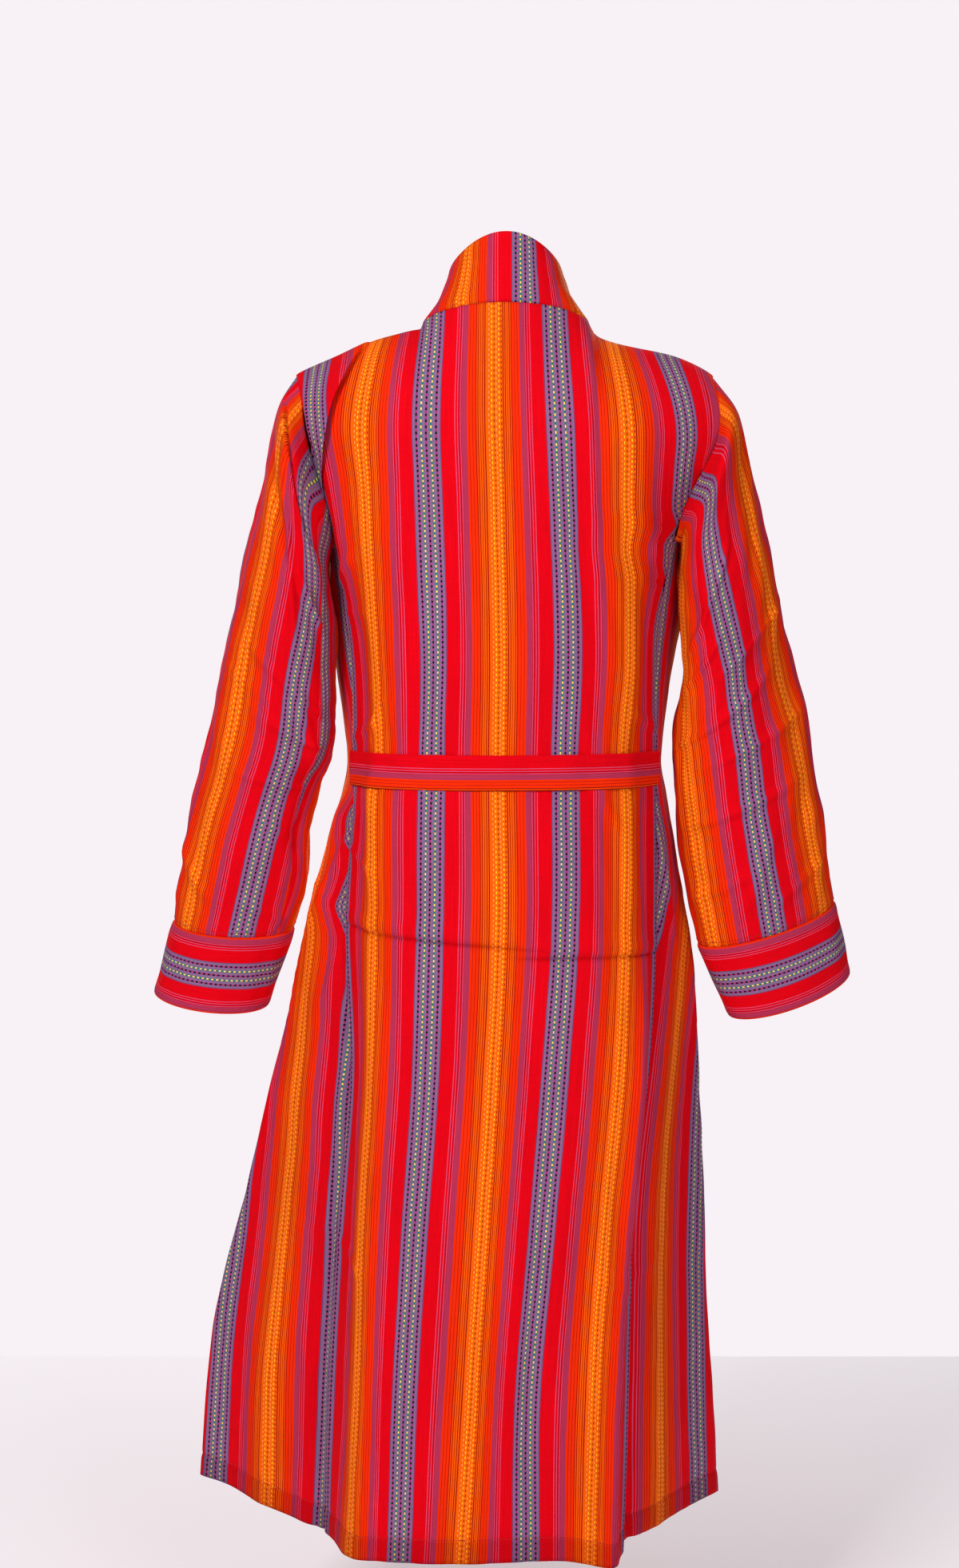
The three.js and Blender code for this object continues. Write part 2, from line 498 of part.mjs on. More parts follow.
for (const side of [1, -1]) {
  const name = side > 0 ? "left" : "right";
  addPiece("front_" + name, clothWall(grid(FRONT_GRID.columns, FRONT_GRID.rows, (i, j) => {
    const v = BODY_LENGTH * j ** ROW_SPREAD;
    return frontPoint(side, mix(FRONT_SEAM_SHARE, 1, i), v + RIDGE_GAP * (1 - j));
  }), false));

  const ring = armholeRing(side);
  const sleeve = side > 0 ? SLEEVE_LEFT : SLEEVE_RIGHT;
  const head = (angle) => sleeveHead(side, ring, angle);
  const rings = [head, ...sleeve.map((row) => (angle) => ringPoint(row, angle))];
  addPiece("sleeve_" + name, clothWall(tubeGrid(SLEEVE_GRID.around, SLEEVE_GRID.rows, (angle, j) =>
    sleevePoint(rings, angle, j)), true));

  const end = side > 0 ? CUFF_END_LEFT : CUFF_END_RIGHT;
  const top = sleeve[sleeve.length - 1];
  addPiece("cuff_" + name, clothWall(tubeGrid(SLEEVE_GRID.around, CUFF_ROWS, (angle, j) =>
    ringPoint(top, angle).lerp(ringPoint(end, angle), mix(SEAM_GAP / CUFF_DEPTH, 1, j))), true));
}

const stations = collarStations();
addPiece("collar", clothWall(stations.map(({ seam, free }) => {
  const standing = smooth((seam.z + COLLAR_STAND_DROP) / COLLAR_STAND_DROP);
  return Array.from({ length: BAND_COLUMNS + 1 }, (_, k) => {
    const share = k / BAND_COLUMNS;
    const point = seam.clone().lerp(free, share);
    const hollow = COLLAR_HOLLOW * standing * Math.sin(Math.PI * share);
    const inward = new THREE.Vector3(-point.x, -point.y, 0).normalize();
    return point.addScaledVector(inward, hollow);
  });
}), false));

// The belt follows the back's own columns, a little proud of it, and stops short of both side seams.
addPiece("belt", clothWall(grid(BACK_GRID.columns - 2, 1, (i, j) => {
  const column = mix(1, BACK_GRID.columns - 1, i) / BACK_GRID.columns;
  const u = mix(-SEAM_U + SEAM_GAP / 2, SEAM_U - SEAM_GAP / 2, column);
  const v = BELT_TOP + BELT_HEIGHT * j + BELT_SAG * (1 - (u / SEAM_U) ** 2);
  const across = backPoint(u + WALL, v).sub(backPoint(u - WALL, v));
  const outward = new THREE.Vector3(across.y, -across.x, 0).normalize();
  return backPoint(u, v).addScaledVector(outward, BELT_STAND_OFF);
}), false));

export default robe;
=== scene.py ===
# A long robe in the kimono manner, of warp-striped dobby cotton, as worn, with nobody in it. Lengths in
# the tables are millimetres; u runs across the cloth from the centre back (towards the wearer's right)
# and v down the cloth from the neck and shoulder seam. The back faces +Y, and a side is 1 for the
# wearer's left, at +X, and -1 for the right.
import math

import bpy
import numpy as np
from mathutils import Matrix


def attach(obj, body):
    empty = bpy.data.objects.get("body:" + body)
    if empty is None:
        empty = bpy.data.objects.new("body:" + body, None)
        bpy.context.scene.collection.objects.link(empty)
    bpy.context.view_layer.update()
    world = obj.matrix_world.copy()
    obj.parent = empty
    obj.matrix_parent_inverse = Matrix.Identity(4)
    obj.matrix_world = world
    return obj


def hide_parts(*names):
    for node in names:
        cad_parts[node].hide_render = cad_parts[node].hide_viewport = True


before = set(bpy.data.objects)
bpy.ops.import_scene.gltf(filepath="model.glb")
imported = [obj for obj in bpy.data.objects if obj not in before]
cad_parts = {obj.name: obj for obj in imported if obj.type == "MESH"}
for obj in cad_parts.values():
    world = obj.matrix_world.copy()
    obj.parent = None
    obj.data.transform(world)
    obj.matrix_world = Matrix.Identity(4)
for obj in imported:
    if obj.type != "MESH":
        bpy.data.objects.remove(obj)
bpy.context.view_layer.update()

# ---- the back --------------------------------------------------------------------------------------
# One panel of handwoven striped cotton from the shoulder and neck seam to a turned, machine-stitched
# hem, with no centre seam. It hangs from the shoulders, is drawn in at the waist by the half belt and
# falls below it in two long folds beside the side seams.
BODY_LENGTH = 1222
YOKE_LENGTH = 130
ARMHOLE_DEPTH = 215
NECK_HALF_WIDTH = 87
NECK_DEPTH = 60
NECK_RISE = 18
SHOULDER_HALF_WIDTH = 222
CLOTH_THICKNESS = 0.8
HEM_DEPTH = 23
HEM_LINE = BODY_LENGTH - HEM_DEPTH
# From the shoulder seam to the yoke line: where the centre back hangs, how far the seam spreads to the
# cloth's own width, how full the curve is, the length over which the lower slope is taken, and how the
# cloth leaves the seam (y and z of its direction) at the shoulder and at the neck.
WORN_CENTRE_X = 13
SHOULDER_SPREAD = 0.6
FULLNESS = 1.05
SLOPE_STEP = 20
SHOULDER_LEAVING, NECK_LEAVING = (0.93, -0.36), (0.45, -0.9)

# The back's sections below the yoke line: x and y at cloth stations u, one row for each length v.
BACK_STATIONS = [-195, -165, -130, -65, 0, 65, 130, 165, 195]
BACK_ROWS = [130, 215, 330, 440, 475, 600, 750, 900, 1060, 1222]
BACK_X = [
    [199, 175, 143, 79, 12, -53, -118, -154, -209],
    [175, 168, 140, 76, 10, -56, -118, -149, -172],
    [160, 147, 133, 72, 8, -60, -123, -142, -155],
    [157, 143, 128, 74, 9, -57, -116, -138, -154],
    [156, 146, 135, 74, 9, -58, -119, -139, -154],
    [164, 150, 134, 75, 8, -57, -118, -138, -153],
    [156, 146, 136, 80, 15, -46, -110, -134, -140],
    [169, 154, 144, 91, 25, -33, -95, -119, -124],
    [180, 161, 148, 101, 35, -19, -85, -108, -121],
    [185, 170, 155, 106, 45, -18, -81, -106, -117],
]
BACK_Y = [
    [44, 66, 84, 104, 108, 108, 96, 80, 46],
    [26, 54, 86, 110, 114, 112, 92, 66, 30],
    [18, 46, 76, 106, 113, 108, 84, 56, 26],
    [12, 38, 66, 97, 104, 99, 74, 46, 18],
    [14, 38, 66, 97, 105, 100, 75, 46, 18],
    [22, 50, 80, 108, 115, 108, 86, 58, 28],
    [42, 70, 96, 114, 118, 114, 101, 85, 54],
    [40, 72, 100, 116, 119, 118, 107, 92, 60],
    [30, 66, 100, 116, 118, 116, 108, 96, 62],
    [22, 60, 98, 114, 117, 112, 103, 92, 56],
]
# The hem hangs lowest at one place u: by how much, over what width, and from what length on.
HEM_DIP, HEM_DIP_U, HEM_DIP_WIDTH, HEM_DIP_FROM = 11, 160, 40, 1000
# Drop of the left and right shoulder seams by share of the shoulder's width, and the ease along them.
SHOULDER_OUT = [0, 0.06, 0.18, 0.34, 0.49, 0.64, 0.8, 0.97, 1.2]
SHOULDER_LEFT = [0, 1, 5, 11, 19, 28, 37, 47, 60]
SHOULDER_RIGHT = [1, 8, 14, 19, 23, 28, 37, 50, 66]
SEAM_EASE = ([-218, -195, -130, -65, 0, 65, 130, 195, 242], [-3, -11, -12, -4, 0, 4, 9, 18, 8])
# Armhole and side-seam edges of the back, as u.
EDGE_ROWS = [0, YOKE_LENGTH, ARMHOLE_DEPTH, BODY_LENGTH]
EDGE_LEFT = [-218, -207, -195, -195]
EDGE_RIGHT = [242, 234, 195, 195]


def smooth(t):
    t = np.clip(t, 0, 1)
    return t * t * (3 - 2 * t)


def rising(at, start, reach):
    """Rises smoothly from 0 at start to 1 a reach further on."""
    return smooth((at - start) / reach)


def mix(a, b, t):
    return a + (b - a) * t


def along(keys, values, at):
    """A smooth curve through a table's values, held level past its ends."""
    keys, values = np.asarray(keys, float), np.asarray(values, float)
    at = np.clip(np.asarray(at, float), keys[0], keys[-1])
    i = np.clip(np.searchsorted(keys, at, side="right") - 1, 0, len(keys) - 2)
    before, after = np.maximum(i - 1, 0), np.minimum(i + 2, len(keys) - 1)
    span = keys[i + 1] - keys[i]

    def column(x):
        return np.reshape(x, np.shape(x) + (1,) * (values.ndim - 1))

    slope_a = (values[i + 1] - values[before]) * column(span / (keys[i + 1] - keys[before]))
    slope_b = (values[after] - values[i]) * column(span / (keys[after] - keys[i]))
    t = column((at - keys[i]) / span)
    return ((2 * t**3 - 3 * t**2 + 1) * values[i] + (t**3 - 2 * t**2 + t) * slope_a
            + (3 * t**2 - 2 * t**3) * values[i + 1] + (t**3 - t**2) * slope_b)


def bridge(start, start_slope, end, end_slope, t):
    """Rows of points between two rows, leaving and arriving along the given directions."""
    reach = np.linalg.norm(end - start, axis=-1, keepdims=True) * FULLNESS
    return ((2 * t**3 - 3 * t**2 + 1) * start + (t**3 - 2 * t**2 + t) * reach * start_slope
            + (3 * t**2 - 2 * t**3) * end + (t**3 - t**2) * reach * end_slope)


def shoulder_points(x):
    """The neck and shoulder seam at places x across the body."""
    share = np.minimum(1, np.abs(x) / NECK_HALF_WIDTH)
    round_share = np.sqrt(1 - share**2)
    out = np.clip((np.abs(x) - NECK_HALF_WIDTH) / (SHOULDER_HALF_WIDTH - NECK_HALF_WIDTH), 0, 1.2)
    drop = np.where(x > 0, along(SHOULDER_OUT, SHOULDER_LEFT, out), along(SHOULDER_OUT, SHOULDER_RIGHT, out))
    drop = np.where(np.abs(x) < NECK_HALF_WIDTH, 0, drop)
    return np.stack([x, NECK_DEPTH * round_share, NECK_RISE * round_share - drop], axis=-1)


def armhole_edge(side, v):
    """Cloth position of the back's edge on one side, at lengths v."""
    return along(EDGE_ROWS, EDGE_LEFT if side > 0 else EDGE_RIGHT, v)


def back_section(u, v):
    """Points of the back at cloth positions u, at one length v below the yoke line."""
    stations = np.array(BACK_STATIONS, float)
    stations[0], stations[-1] = armhole_edge(1, v), armhole_edge(-1, v)
    x = along(stations, along(BACK_ROWS, BACK_X, v), u)
    y = along(stations, along(BACK_ROWS, BACK_Y, v), u)
    return np.stack([x, y, np.full_like(x, -v)], axis=-1)


def back_row(u, v):
    """Points of the back at cloth positions u, at one length v."""
    u = np.asarray(u, float)
    if v >= YOKE_LENGTH:
        low_share = rising(v, HEM_DIP_FROM, BODY_LENGTH - HEM_DIP_FROM)
        dip = HEM_DIP * low_share * np.exp(-((u - HEM_DIP_U) / HEM_DIP_WIDTH) ** 2)
        return back_section(u, v) - dip[:, None] * [0, 0, 1]
    low = back_section(u, YOKE_LENGTH)
    low_slope = (back_section(u, YOKE_LENGTH + SLOPE_STEP) - low) / SLOPE_STEP
    top = shoulder_points(mix(low[:, 0], WORN_CENTRE_X - u, SHOULDER_SPREAD) + along(*SEAM_EASE, u))
    neck_share = smooth(top[:, 1] / NECK_DEPTH)
    leaving = [mix(shoulder, neck, neck_share) for shoulder, neck in zip(SHOULDER_LEAVING, NECK_LEAVING)]
    slope = np.stack([0 * u] + leaving, axis=-1)
    return bridge(top, slope, low, low_slope, v / YOKE_LENGTH)


# A fold runs past its two ends by a share of its length, and fades out over another.
FOLD_OVERRUN, FOLD_FADE = 0.15, 0.35


def folds_at(folds, u, v):
    """Height of a table of folds. A sharp fold is a crease with a cusp, a soft one a rounded ridge."""
    height = np.zeros(np.broadcast(u, v).shape)
    for u0, v0, u1, v1, width, rise, sharp in folds:
        length = math.hypot(u1 - u0, v1 - v0)
        du, dv = (u1 - u0) / length, (v1 - v0) / length
        run = ((u - u0) * du + (v - v0) * dv) / length
        away = np.abs((u - u0) * dv - (v - v0) * du) / width
        fade = smooth((run + FOLD_OVERRUN) / FOLD_FADE) * smooth((1 + FOLD_OVERRUN - run) / FOLD_FADE)
        profile = np.exp(-away) if sharp else np.exp(-away * away)
        height = height + rise * fade * profile
    return height


def slack(u, v, seed, across, down, height, waves=14):
    """Uneven gentle rise and fall of loose cloth, from waves drawn with a fixed seed."""
    draw = np.random.default_rng(seed)
    total = np.zeros(np.broadcast(u, v).shape)
    for _ in range(waves):
        ku = draw.normal(0, 2 * np.pi / across)
        kv = draw.normal(0, 2 * np.pi / down)
        total = total + np.sin(ku * u + kv * v + draw.uniform(0, 2 * np.pi))
    return height * total / math.sqrt(waves)


def sheet_normals(points, closed):
    """Unit normals of a grid of points, whose columns may close into a tube."""
    across = np.roll(points, -1, 0) - np.roll(points, 1, 0)
    if not closed:
        across[0], across[-1] = points[1] - points[0], points[-1] - points[-2]
    down = np.empty_like(points)
    down[:, 1:-1] = points[:, 2:] - points[:, :-2]
    down[:, 0], down[:, -1] = points[:, 1] - points[:, 0], points[:, -1] - points[:, -2]
    normals = np.cross(across, down)
    return normals / np.maximum(np.linalg.norm(normals, axis=-1, keepdims=True), 1e-9)


def outward_normals(points, closed, axis):
    """Unit normals of a cloth grid, turned away from the axis points."""
    normals = sheet_normals(points, closed)
    faces_out = np.sum(normals * (points - axis)) > 0
    return normals * (1 if faces_out else -1), faces_out


# Stands for the distance to a sewn edge where a piece states none.
FAR_FROM_SEAM = 60.0


def sew_piece(name, points, weave, layers=1, closed=False, seam=None, painted_shade=None, axis=None):
    """Makes a thin cloth shell of a grid of points (across, down), with its weave coordinates.

    layers is how many of cloth it is folded from, seam the distance to the nearest sewn edge, and the
    painted-shade argument how far the cloth is darkened as painted shade, along the turned hem and the
    bottom of a pressed crease.
    """
    columns, rows = points.shape[:2]
    if axis is None:
        axis = points * [0, 0, 1]
    normals, faces_out = outward_normals(points, closed, axis)
    i = np.arange(columns if closed else columns - 1)[:, None]
    j = np.arange(rows - 1)[None, :]
    nxt = (i + 1) % columns
    quads = np.stack([i * rows + j, nxt * rows + j, nxt * rows + j + 1, i * rows + j + 1], axis=-1)
    corner_i = np.stack([i + 0 * j, i + 1 + 0 * j, i + 1 + 0 * j, i + 0 * j], axis=-1)
    corner_j = np.stack([j + 0 * i, j + 0 * i, j + 1 + 0 * i, j + 1 + 0 * i], axis=-1)
    if not faces_out:
        quads, corner_i, corner_j = quads[..., ::-1], corner_i[..., ::-1], corner_j[..., ::-1]
    mesh = bpy.data.meshes.new(name)
    mesh.from_pydata((points.reshape(-1, 3) / 1000).tolist(), [], quads.reshape(-1, 4).tolist())
    layer = mesh.uv_layers.new(name="weave")
    layer.data.foreach_set("uv", weave[corner_i.ravel(), corner_j.ravel()].astype(np.float32).ravel())
    # The second attribute is painted shade: how far the cloth is darkened along the turned hem and the
    # pressed crease.
    for label, values, fill in (("seam", seam, FAR_FROM_SEAM), ("painted_shade", painted_shade, 0.0)):
        flat = np.full(columns * rows, fill) if values is None else values.reshape(-1)
        mesh.attributes.new(label, "FLOAT", "POINT").data.foreach_set("value", flat.astype(np.float32))
    mesh.polygons.foreach_set("use_smooth", [True] * len(mesh.polygons))
    piece = bpy.data.objects.new(name, mesh)
    bpy.context.scene.collection.objects.link(piece)
    shell = piece.modifiers.new("cloth thickness", "SOLIDIFY")
    shell.thickness = layers * CLOTH_THICKNESS / 1000
    shell.offset = 0
    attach(piece, "root")
    return piece


# The cloth: a red ground with orange, mauve and violet warp stripes, and dobby columns of floating
# coloured threads in the orange and the violet ones.
STRIPE_REPEAT = 130
DASH_PERIOD = 4.95
CRIMSON, SCARLET, ORANGE, MAUVE = (220, 0, 18), (238, 44, 4), (246, 88, 4), (174, 47, 80)
RUST, PIN = (148, 6, 6), (206, 76, 114)
# Warp stripes, mirrored at both centres: place from the orange centre towards the violet one, and the
# colour from there on.
WARP = [
    (0, (246, 104, 4)), (3.5, (244, 94, 4)), (8.6, RUST), (9.4, ORANGE), (10.9, RUST), (11.6, ORANGE),
    (13.0, RUST), (13.7, ORANGE), (15.0, RUST), (15.8, (244, 72, 4)), (17.1, RUST), (17.8, SCARLET),
    (20.4, (180, 12, 6)), (21.0, SCARLET), (23.4, (180, 12, 6)), (24.0, SCARLET), (26, MAUVE),
    (31.2, (190, 0, 20)), (31.6, PIN), (32.5, (196, 0, 22)), (34.1, PIN), (35.0, CRIMSON), (36.6, PIN),
    (37.4, CRIMSON), (50.7, (108, 58, 106)), (51.3, (130, 100, 136)),
]
# Dobby columns: place from the orange centre, half width, share of the period, colour.
ORANGE_DOBBY = [
    (-5.2, 0.55, 0.25, (255, 150, 84)), (-2.6, 0.6, 0.75, (255, 196, 40)), (0, 0.5, 0.25, (140, 24, 6)),
    (2.2, 0.55, 0.75, (255, 144, 92)), (4.9, 0.6, 0.25, (255, 196, 40)), (7.3, 0.5, 0.75, (150, 26, 6)),
]
# The same from the violet centre, each column with its mirrored one.
VIOLET_DOBBY = [
    (0, 1.05, 0.25, (34, 2, 30)), (0, 1.05, 0.75, (168, 50, 122)), (4.9, 0.7, 0.25, (250, 222, 92)),
    (4.9, 1.0, 0.75, (10, 116, 104)), (9.8, 1.05, 0.25, (34, 2, 30)), (9.8, 1.05, 0.75, (168, 50, 122)),
]
# A dobby float is a rounded oblong: half its length, how square its corners are, and how crisp its edge.
FLOAT_HALF_LENGTH, FLOAT_CORNER, FLOAT_EDGE, FLOAT_CRISPNESS = 1.35, 2.6, 1.15, 2.2
# Unevenness of the hand weaving: grain across and down the cloth, and how much it moves or shades it.
WANDER_GRAIN, WANDER_AMOUNT = (40, 160), 1.6
THREAD_GRAIN, THREAD_SHADE = (0.55, 70), 0.8
WEFT_GRAIN, WEFT_SHADE = (26, 0.5), 0.22
BROAD_GRAIN, BROAD_SHADE = (60, 120), 0.2
# Relief: pitch of the plain weave, and heights of the weave, the floats, the uneven threads and the
# slubs, which are the few places where their noise passes a limit.
WARP_PITCH, WEFT_PITCH = 0.9, 0.8
WEAVE_HEIGHT, FLOAT_HEIGHT, THREAD_HEIGHT, SLUB_HEIGHT = 0.045, 0.2, 0.22, 1.6
SLUB_GRAIN, SLUB_LIMIT = (0.8, 22), 0.7
CLOTH_ROUGHNESS, FLOAT_SMOOTHER = 0.82, 0.16


def linear(rgb):
    """A colour from its 0 to 255 screen values."""
    def one(value):
        value /= 255
        return value / 12.92 if value <= 0.04045 else ((value + 0.055) / 1.055) ** 2.4
    return [one(value) for value in rgb] + [1]


def node_maths(tree):
    """Returns a function that adds a Math node to the tree and gives its output."""
    def calc(operation, *values):
        node = tree.nodes.new("ShaderNodeMath")
        node.operation = operation
        for socket, value in zip(node.inputs, values):
            if isinstance(value, (int, float)):
                socket.default_value = value
            else:
                tree.links.new(value, socket)
        return node.outputs[0]
    return calc


def node_blend(tree, factor, first, second, way="MIX"):
    """Adds a colour Mix node to the tree and gives its output."""
    node = tree.nodes.new("ShaderNodeMix")
    node.data_type, node.blend_type = "RGBA", way
    for socket, value in ((node.inputs[0], factor), (node.inputs[6], first), (node.inputs[7], second)):
        if isinstance(value, (int, float, list)):
            socket.default_value = value
        else:
            tree.links.new(value, socket)
    return node.outputs[2]


def node_noise(tree, across, down, grain, detail=2, roughness=0.5):
    """Noise in the cloth's own plane, with its grain across and down in millimetres."""
    calc = node_maths(tree)
    join = tree.nodes.new("ShaderNodeCombineXYZ")
    tree.links.new(calc("DIVIDE", across, float(grain[0])), join.inputs[0])
    tree.links.new(calc("DIVIDE", down, float(grain[1])), join.inputs[1])
    noise = tree.nodes.new("ShaderNodeTexNoise")
    noise.inputs["Scale"].default_value = 1
    noise.inputs["Detail"].default_value = detail
    noise.inputs["Roughness"].default_value = roughness
    tree.links.new(join.outputs[0], noise.inputs["Vector"])
    return noise.outputs["Fac"]


def stripe_group():
    """Node group: colour and relief of the striped cloth from places across and down it."""
    group = bpy.data.node_groups.new("striped dobby cotton", "ShaderNodeTree")
    for label in ("Across", "Down"):
        group.interface.new_socket(label, in_out="INPUT", socket_type="NodeSocketFloat")
    group.interface.new_socket("Color", in_out="OUTPUT", socket_type="NodeSocketColor")
    group.interface.new_socket("Relief", in_out="OUTPUT", socket_type="NodeSocketFloat")
    group.interface.new_socket("Roughness", in_out="OUTPUT", socket_type="NodeSocketFloat")
    given = group.nodes.new("NodeGroupInput")
    result = group.nodes.new("NodeGroupOutput")
    calc = node_maths(group)
    down = given.outputs["Down"]
    wander = calc("SUBTRACT", node_noise(group, given.outputs["Across"], down, WANDER_GRAIN), 0.5)
    across = calc("MULTIPLY_ADD", wander, WANDER_AMOUNT, given.outputs["Across"])
    half = STRIPE_REPEAT / 2
    from_orange = calc("WRAP", across, half, -half)
    from_violet = calc("WRAP", calc("SUBTRACT", across, half), half, -half)
    ramp = group.nodes.new("ShaderNodeValToRGB")
    ramp.color_ramp.interpolation = "CONSTANT"
    stops = ramp.color_ramp.elements
    while len(stops) < len(WARP):
        stops.new(1)
    for stop, (place, colour) in zip(stops, WARP):
        stop.position = place / half
        stop.color = linear(colour)
    group.links.new(calc("DIVIDE", calc("ABSOLUTE", from_orange), half), ramp.inputs[0])
    colour = ramp.outputs[0]
    beat = calc("FRACT", calc("DIVIDE", down, DASH_PERIOD))
    raised = 0.0
    for table, place, doubled in ((ORANGE_DOBBY, from_orange, False), (VIOLET_DOBBY, from_violet, True)):
        if doubled:
            place = calc("ABSOLUTE", place)
        for centre, width, phase, float_colour in table:
            off_column = calc("DIVIDE", calc("SUBTRACT", place, centre), width)
            off_dash = calc("MULTIPLY", calc("SUBTRACT", beat, phase), DASH_PERIOD / FLOAT_HALF_LENGTH)
            radius = calc("ADD", calc("POWER", calc("ABSOLUTE", off_column), FLOAT_CORNER),
                          calc("POWER", calc("ABSOLUTE", off_dash), FLOAT_CORNER))
            mask = calc("MULTIPLY", calc("SUBTRACT", FLOAT_EDGE, radius), FLOAT_CRISPNESS)
            mask = calc("MINIMUM", calc("MAXIMUM", mask, 0.0), 1.0)
            colour = node_blend(group, mask, colour, linear(float_colour))
            raised = calc("MAXIMUM", raised, mask)
    # Single warp threads differ in tone, wefts less so, and the dye is a little uneven over broad areas.
    thread = node_noise(group, across, down, THREAD_GRAIN, detail=3, roughness=0.65)
    weft = node_noise(group, across, down, WEFT_GRAIN, detail=2)
    broad = node_noise(group, across, down, BROAD_GRAIN, detail=3)
    shades = [calc("MULTIPLY_ADD", calc("SUBTRACT", noise, 0.5), amount, 1.0)
              for noise, amount in ((thread, THREAD_SHADE), (weft, WEFT_SHADE), (broad, BROAD_SHADE))]
    tone = calc("MULTIPLY", calc("MULTIPLY", shades[0], shades[1]), shades[2])
    shade = group.nodes.new("ShaderNodeCombineColor")
    for socket in shade.inputs:
        group.links.new(tone, socket)
    colour = node_blend(group, 1.0, colour, shade.outputs[0], way="MULTIPLY")
    # Plain weave relief, the floating dobby threads on it, and slubs.
    weave = calc("MULTIPLY", calc("SINE", calc("MULTIPLY", across, 2 * math.pi / WARP_PITCH)),
                 calc("SINE", calc("MULTIPLY", down, 2 * math.pi / WEFT_PITCH)))
    slub = calc("SUBTRACT", node_noise(group, across, down, SLUB_GRAIN, detail=1), SLUB_LIMIT)
    relief = calc("MULTIPLY_ADD", weave, WEAVE_HEIGHT, calc("MULTIPLY", raised, FLOAT_HEIGHT))
    relief = calc("MULTIPLY_ADD", calc("MAXIMUM", slub, 0.0), SLUB_HEIGHT, relief)
    relief = calc("MULTIPLY_ADD", calc("SUBTRACT", thread, 0.5), THREAD_HEIGHT, relief)
    group.links.new(colour, result.inputs["Color"])
    group.links.new(relief, result.inputs["Relief"])
    roughness = calc("MULTIPLY_ADD", raised, -FLOAT_SMOOTHER, CLOTH_ROUGHNESS)
    group.links.new(roughness, result.inputs["Roughness"])
    return group


PUCKER_GRAIN, PUCKER_REACH = (34, 8), 9.0


def seam_group():
    """Node group: relief of the puckers beside a machine seam."""
    group = bpy.data.node_groups.new("seam pucker", "ShaderNodeTree")
    for label in ("Across", "Down", "Distance", "Depth"):
        group.interface.new_socket(label, in_out="INPUT", socket_type="NodeSocketFloat")
    group.interface.new_socket("Relief", in_out="OUTPUT", socket_type="NodeSocketFloat")
    given = group.nodes.new("NodeGroupInput")
    result = group.nodes.new("NodeGroupOutput")
    calc = node_maths(group)
    pucker = node_noise(group, given.outputs["Across"], given.outputs["Down"], PUCKER_GRAIN)
    near = calc("EXPONENT", calc("DIVIDE", given.outputs["Distance"], -PUCKER_REACH))
    relief = calc("MULTIPLY", calc("MULTIPLY", calc("SUBTRACT", pucker, 0.5), near), given.outputs["Depth"])
    group.links.new(relief, result.inputs["Relief"])
    return group


def striped_cotton(name, pucker_depth, painted_shade_tone):
    """The cloth's material: matt woven cotton that reads its weave coordinates."""
    material = bpy.data.materials.new(name)
    material.use_nodes = True
    tree = material.node_tree
    calc = node_maths(tree)
    surface = tree.nodes["Principled BSDF"]
    surface.inputs["Sheen Weight"].default_value = 0.02
    surface.inputs["Sheen Roughness"].default_value = 0.4
    surface.inputs["Sheen Tint"].default_value = (1.0, 0.35, 0.25, 1)
    surface.inputs["Specular IOR Level"].default_value = 0.05
    weave = tree.nodes.new("ShaderNodeUVMap")
    weave.uv_map = "weave"
    split = tree.nodes.new("ShaderNodeSeparateXYZ")
    tree.links.new(weave.outputs[0], split.inputs[0])
    stripes = tree.nodes.new("ShaderNodeGroup")
    stripes.node_tree = STRIPES
    seams = tree.nodes.new("ShaderNodeGroup")
    seams.node_tree = SEAMS
    for group in (stripes, seams):
        tree.links.new(split.outputs[0], group.inputs["Across"])
        tree.links.new(split.outputs[1], group.inputs["Down"])
    distance = tree.nodes.new("ShaderNodeAttribute")
    distance.attribute_name = "seam"
    tree.links.new(distance.outputs["Fac"], seams.inputs["Distance"])
    seams.inputs["Depth"].default_value = pucker_depth
    # Painted shade: where the mesh asks for it, along the turned hem and the bottom of the pressed crease,
    # the cloth's colour is multiplied by a darker tone.
    layers = tree.nodes.new("ShaderNodeAttribute")
    layers.attribute_name = "painted_shade"
    doubled = node_blend(tree, 1.0, stripes.outputs["Color"], linear(painted_shade_tone), way="MULTIPLY")
    colour = node_blend(tree, layers.outputs["Fac"], stripes.outputs["Color"], doubled)
    bump = tree.nodes.new("ShaderNodeBump")
    bump.inputs["Strength"].default_value = 1
    bump.inputs["Distance"].default_value = 0.001
    tree.links.new(calc("ADD", stripes.outputs["Relief"], seams.outputs["Relief"]), bump.inputs["Height"])
    tree.links.new(colour, surface.inputs["Base Color"])
    tree.links.new(stripes.outputs["Roughness"], surface.inputs["Roughness"])
    tree.links.new(bump.outputs[0], surface.inputs["Normal"])
    return material


STRIPES, SEAMS = stripe_group(), seam_group()
# The last tone here is the painted shade of the turned hem and the pressed crease.
BODY_CLOTH = striped_cotton("striped cotton, body", pucker_depth=1.3, painted_shade_tone=(226, 214, 218))

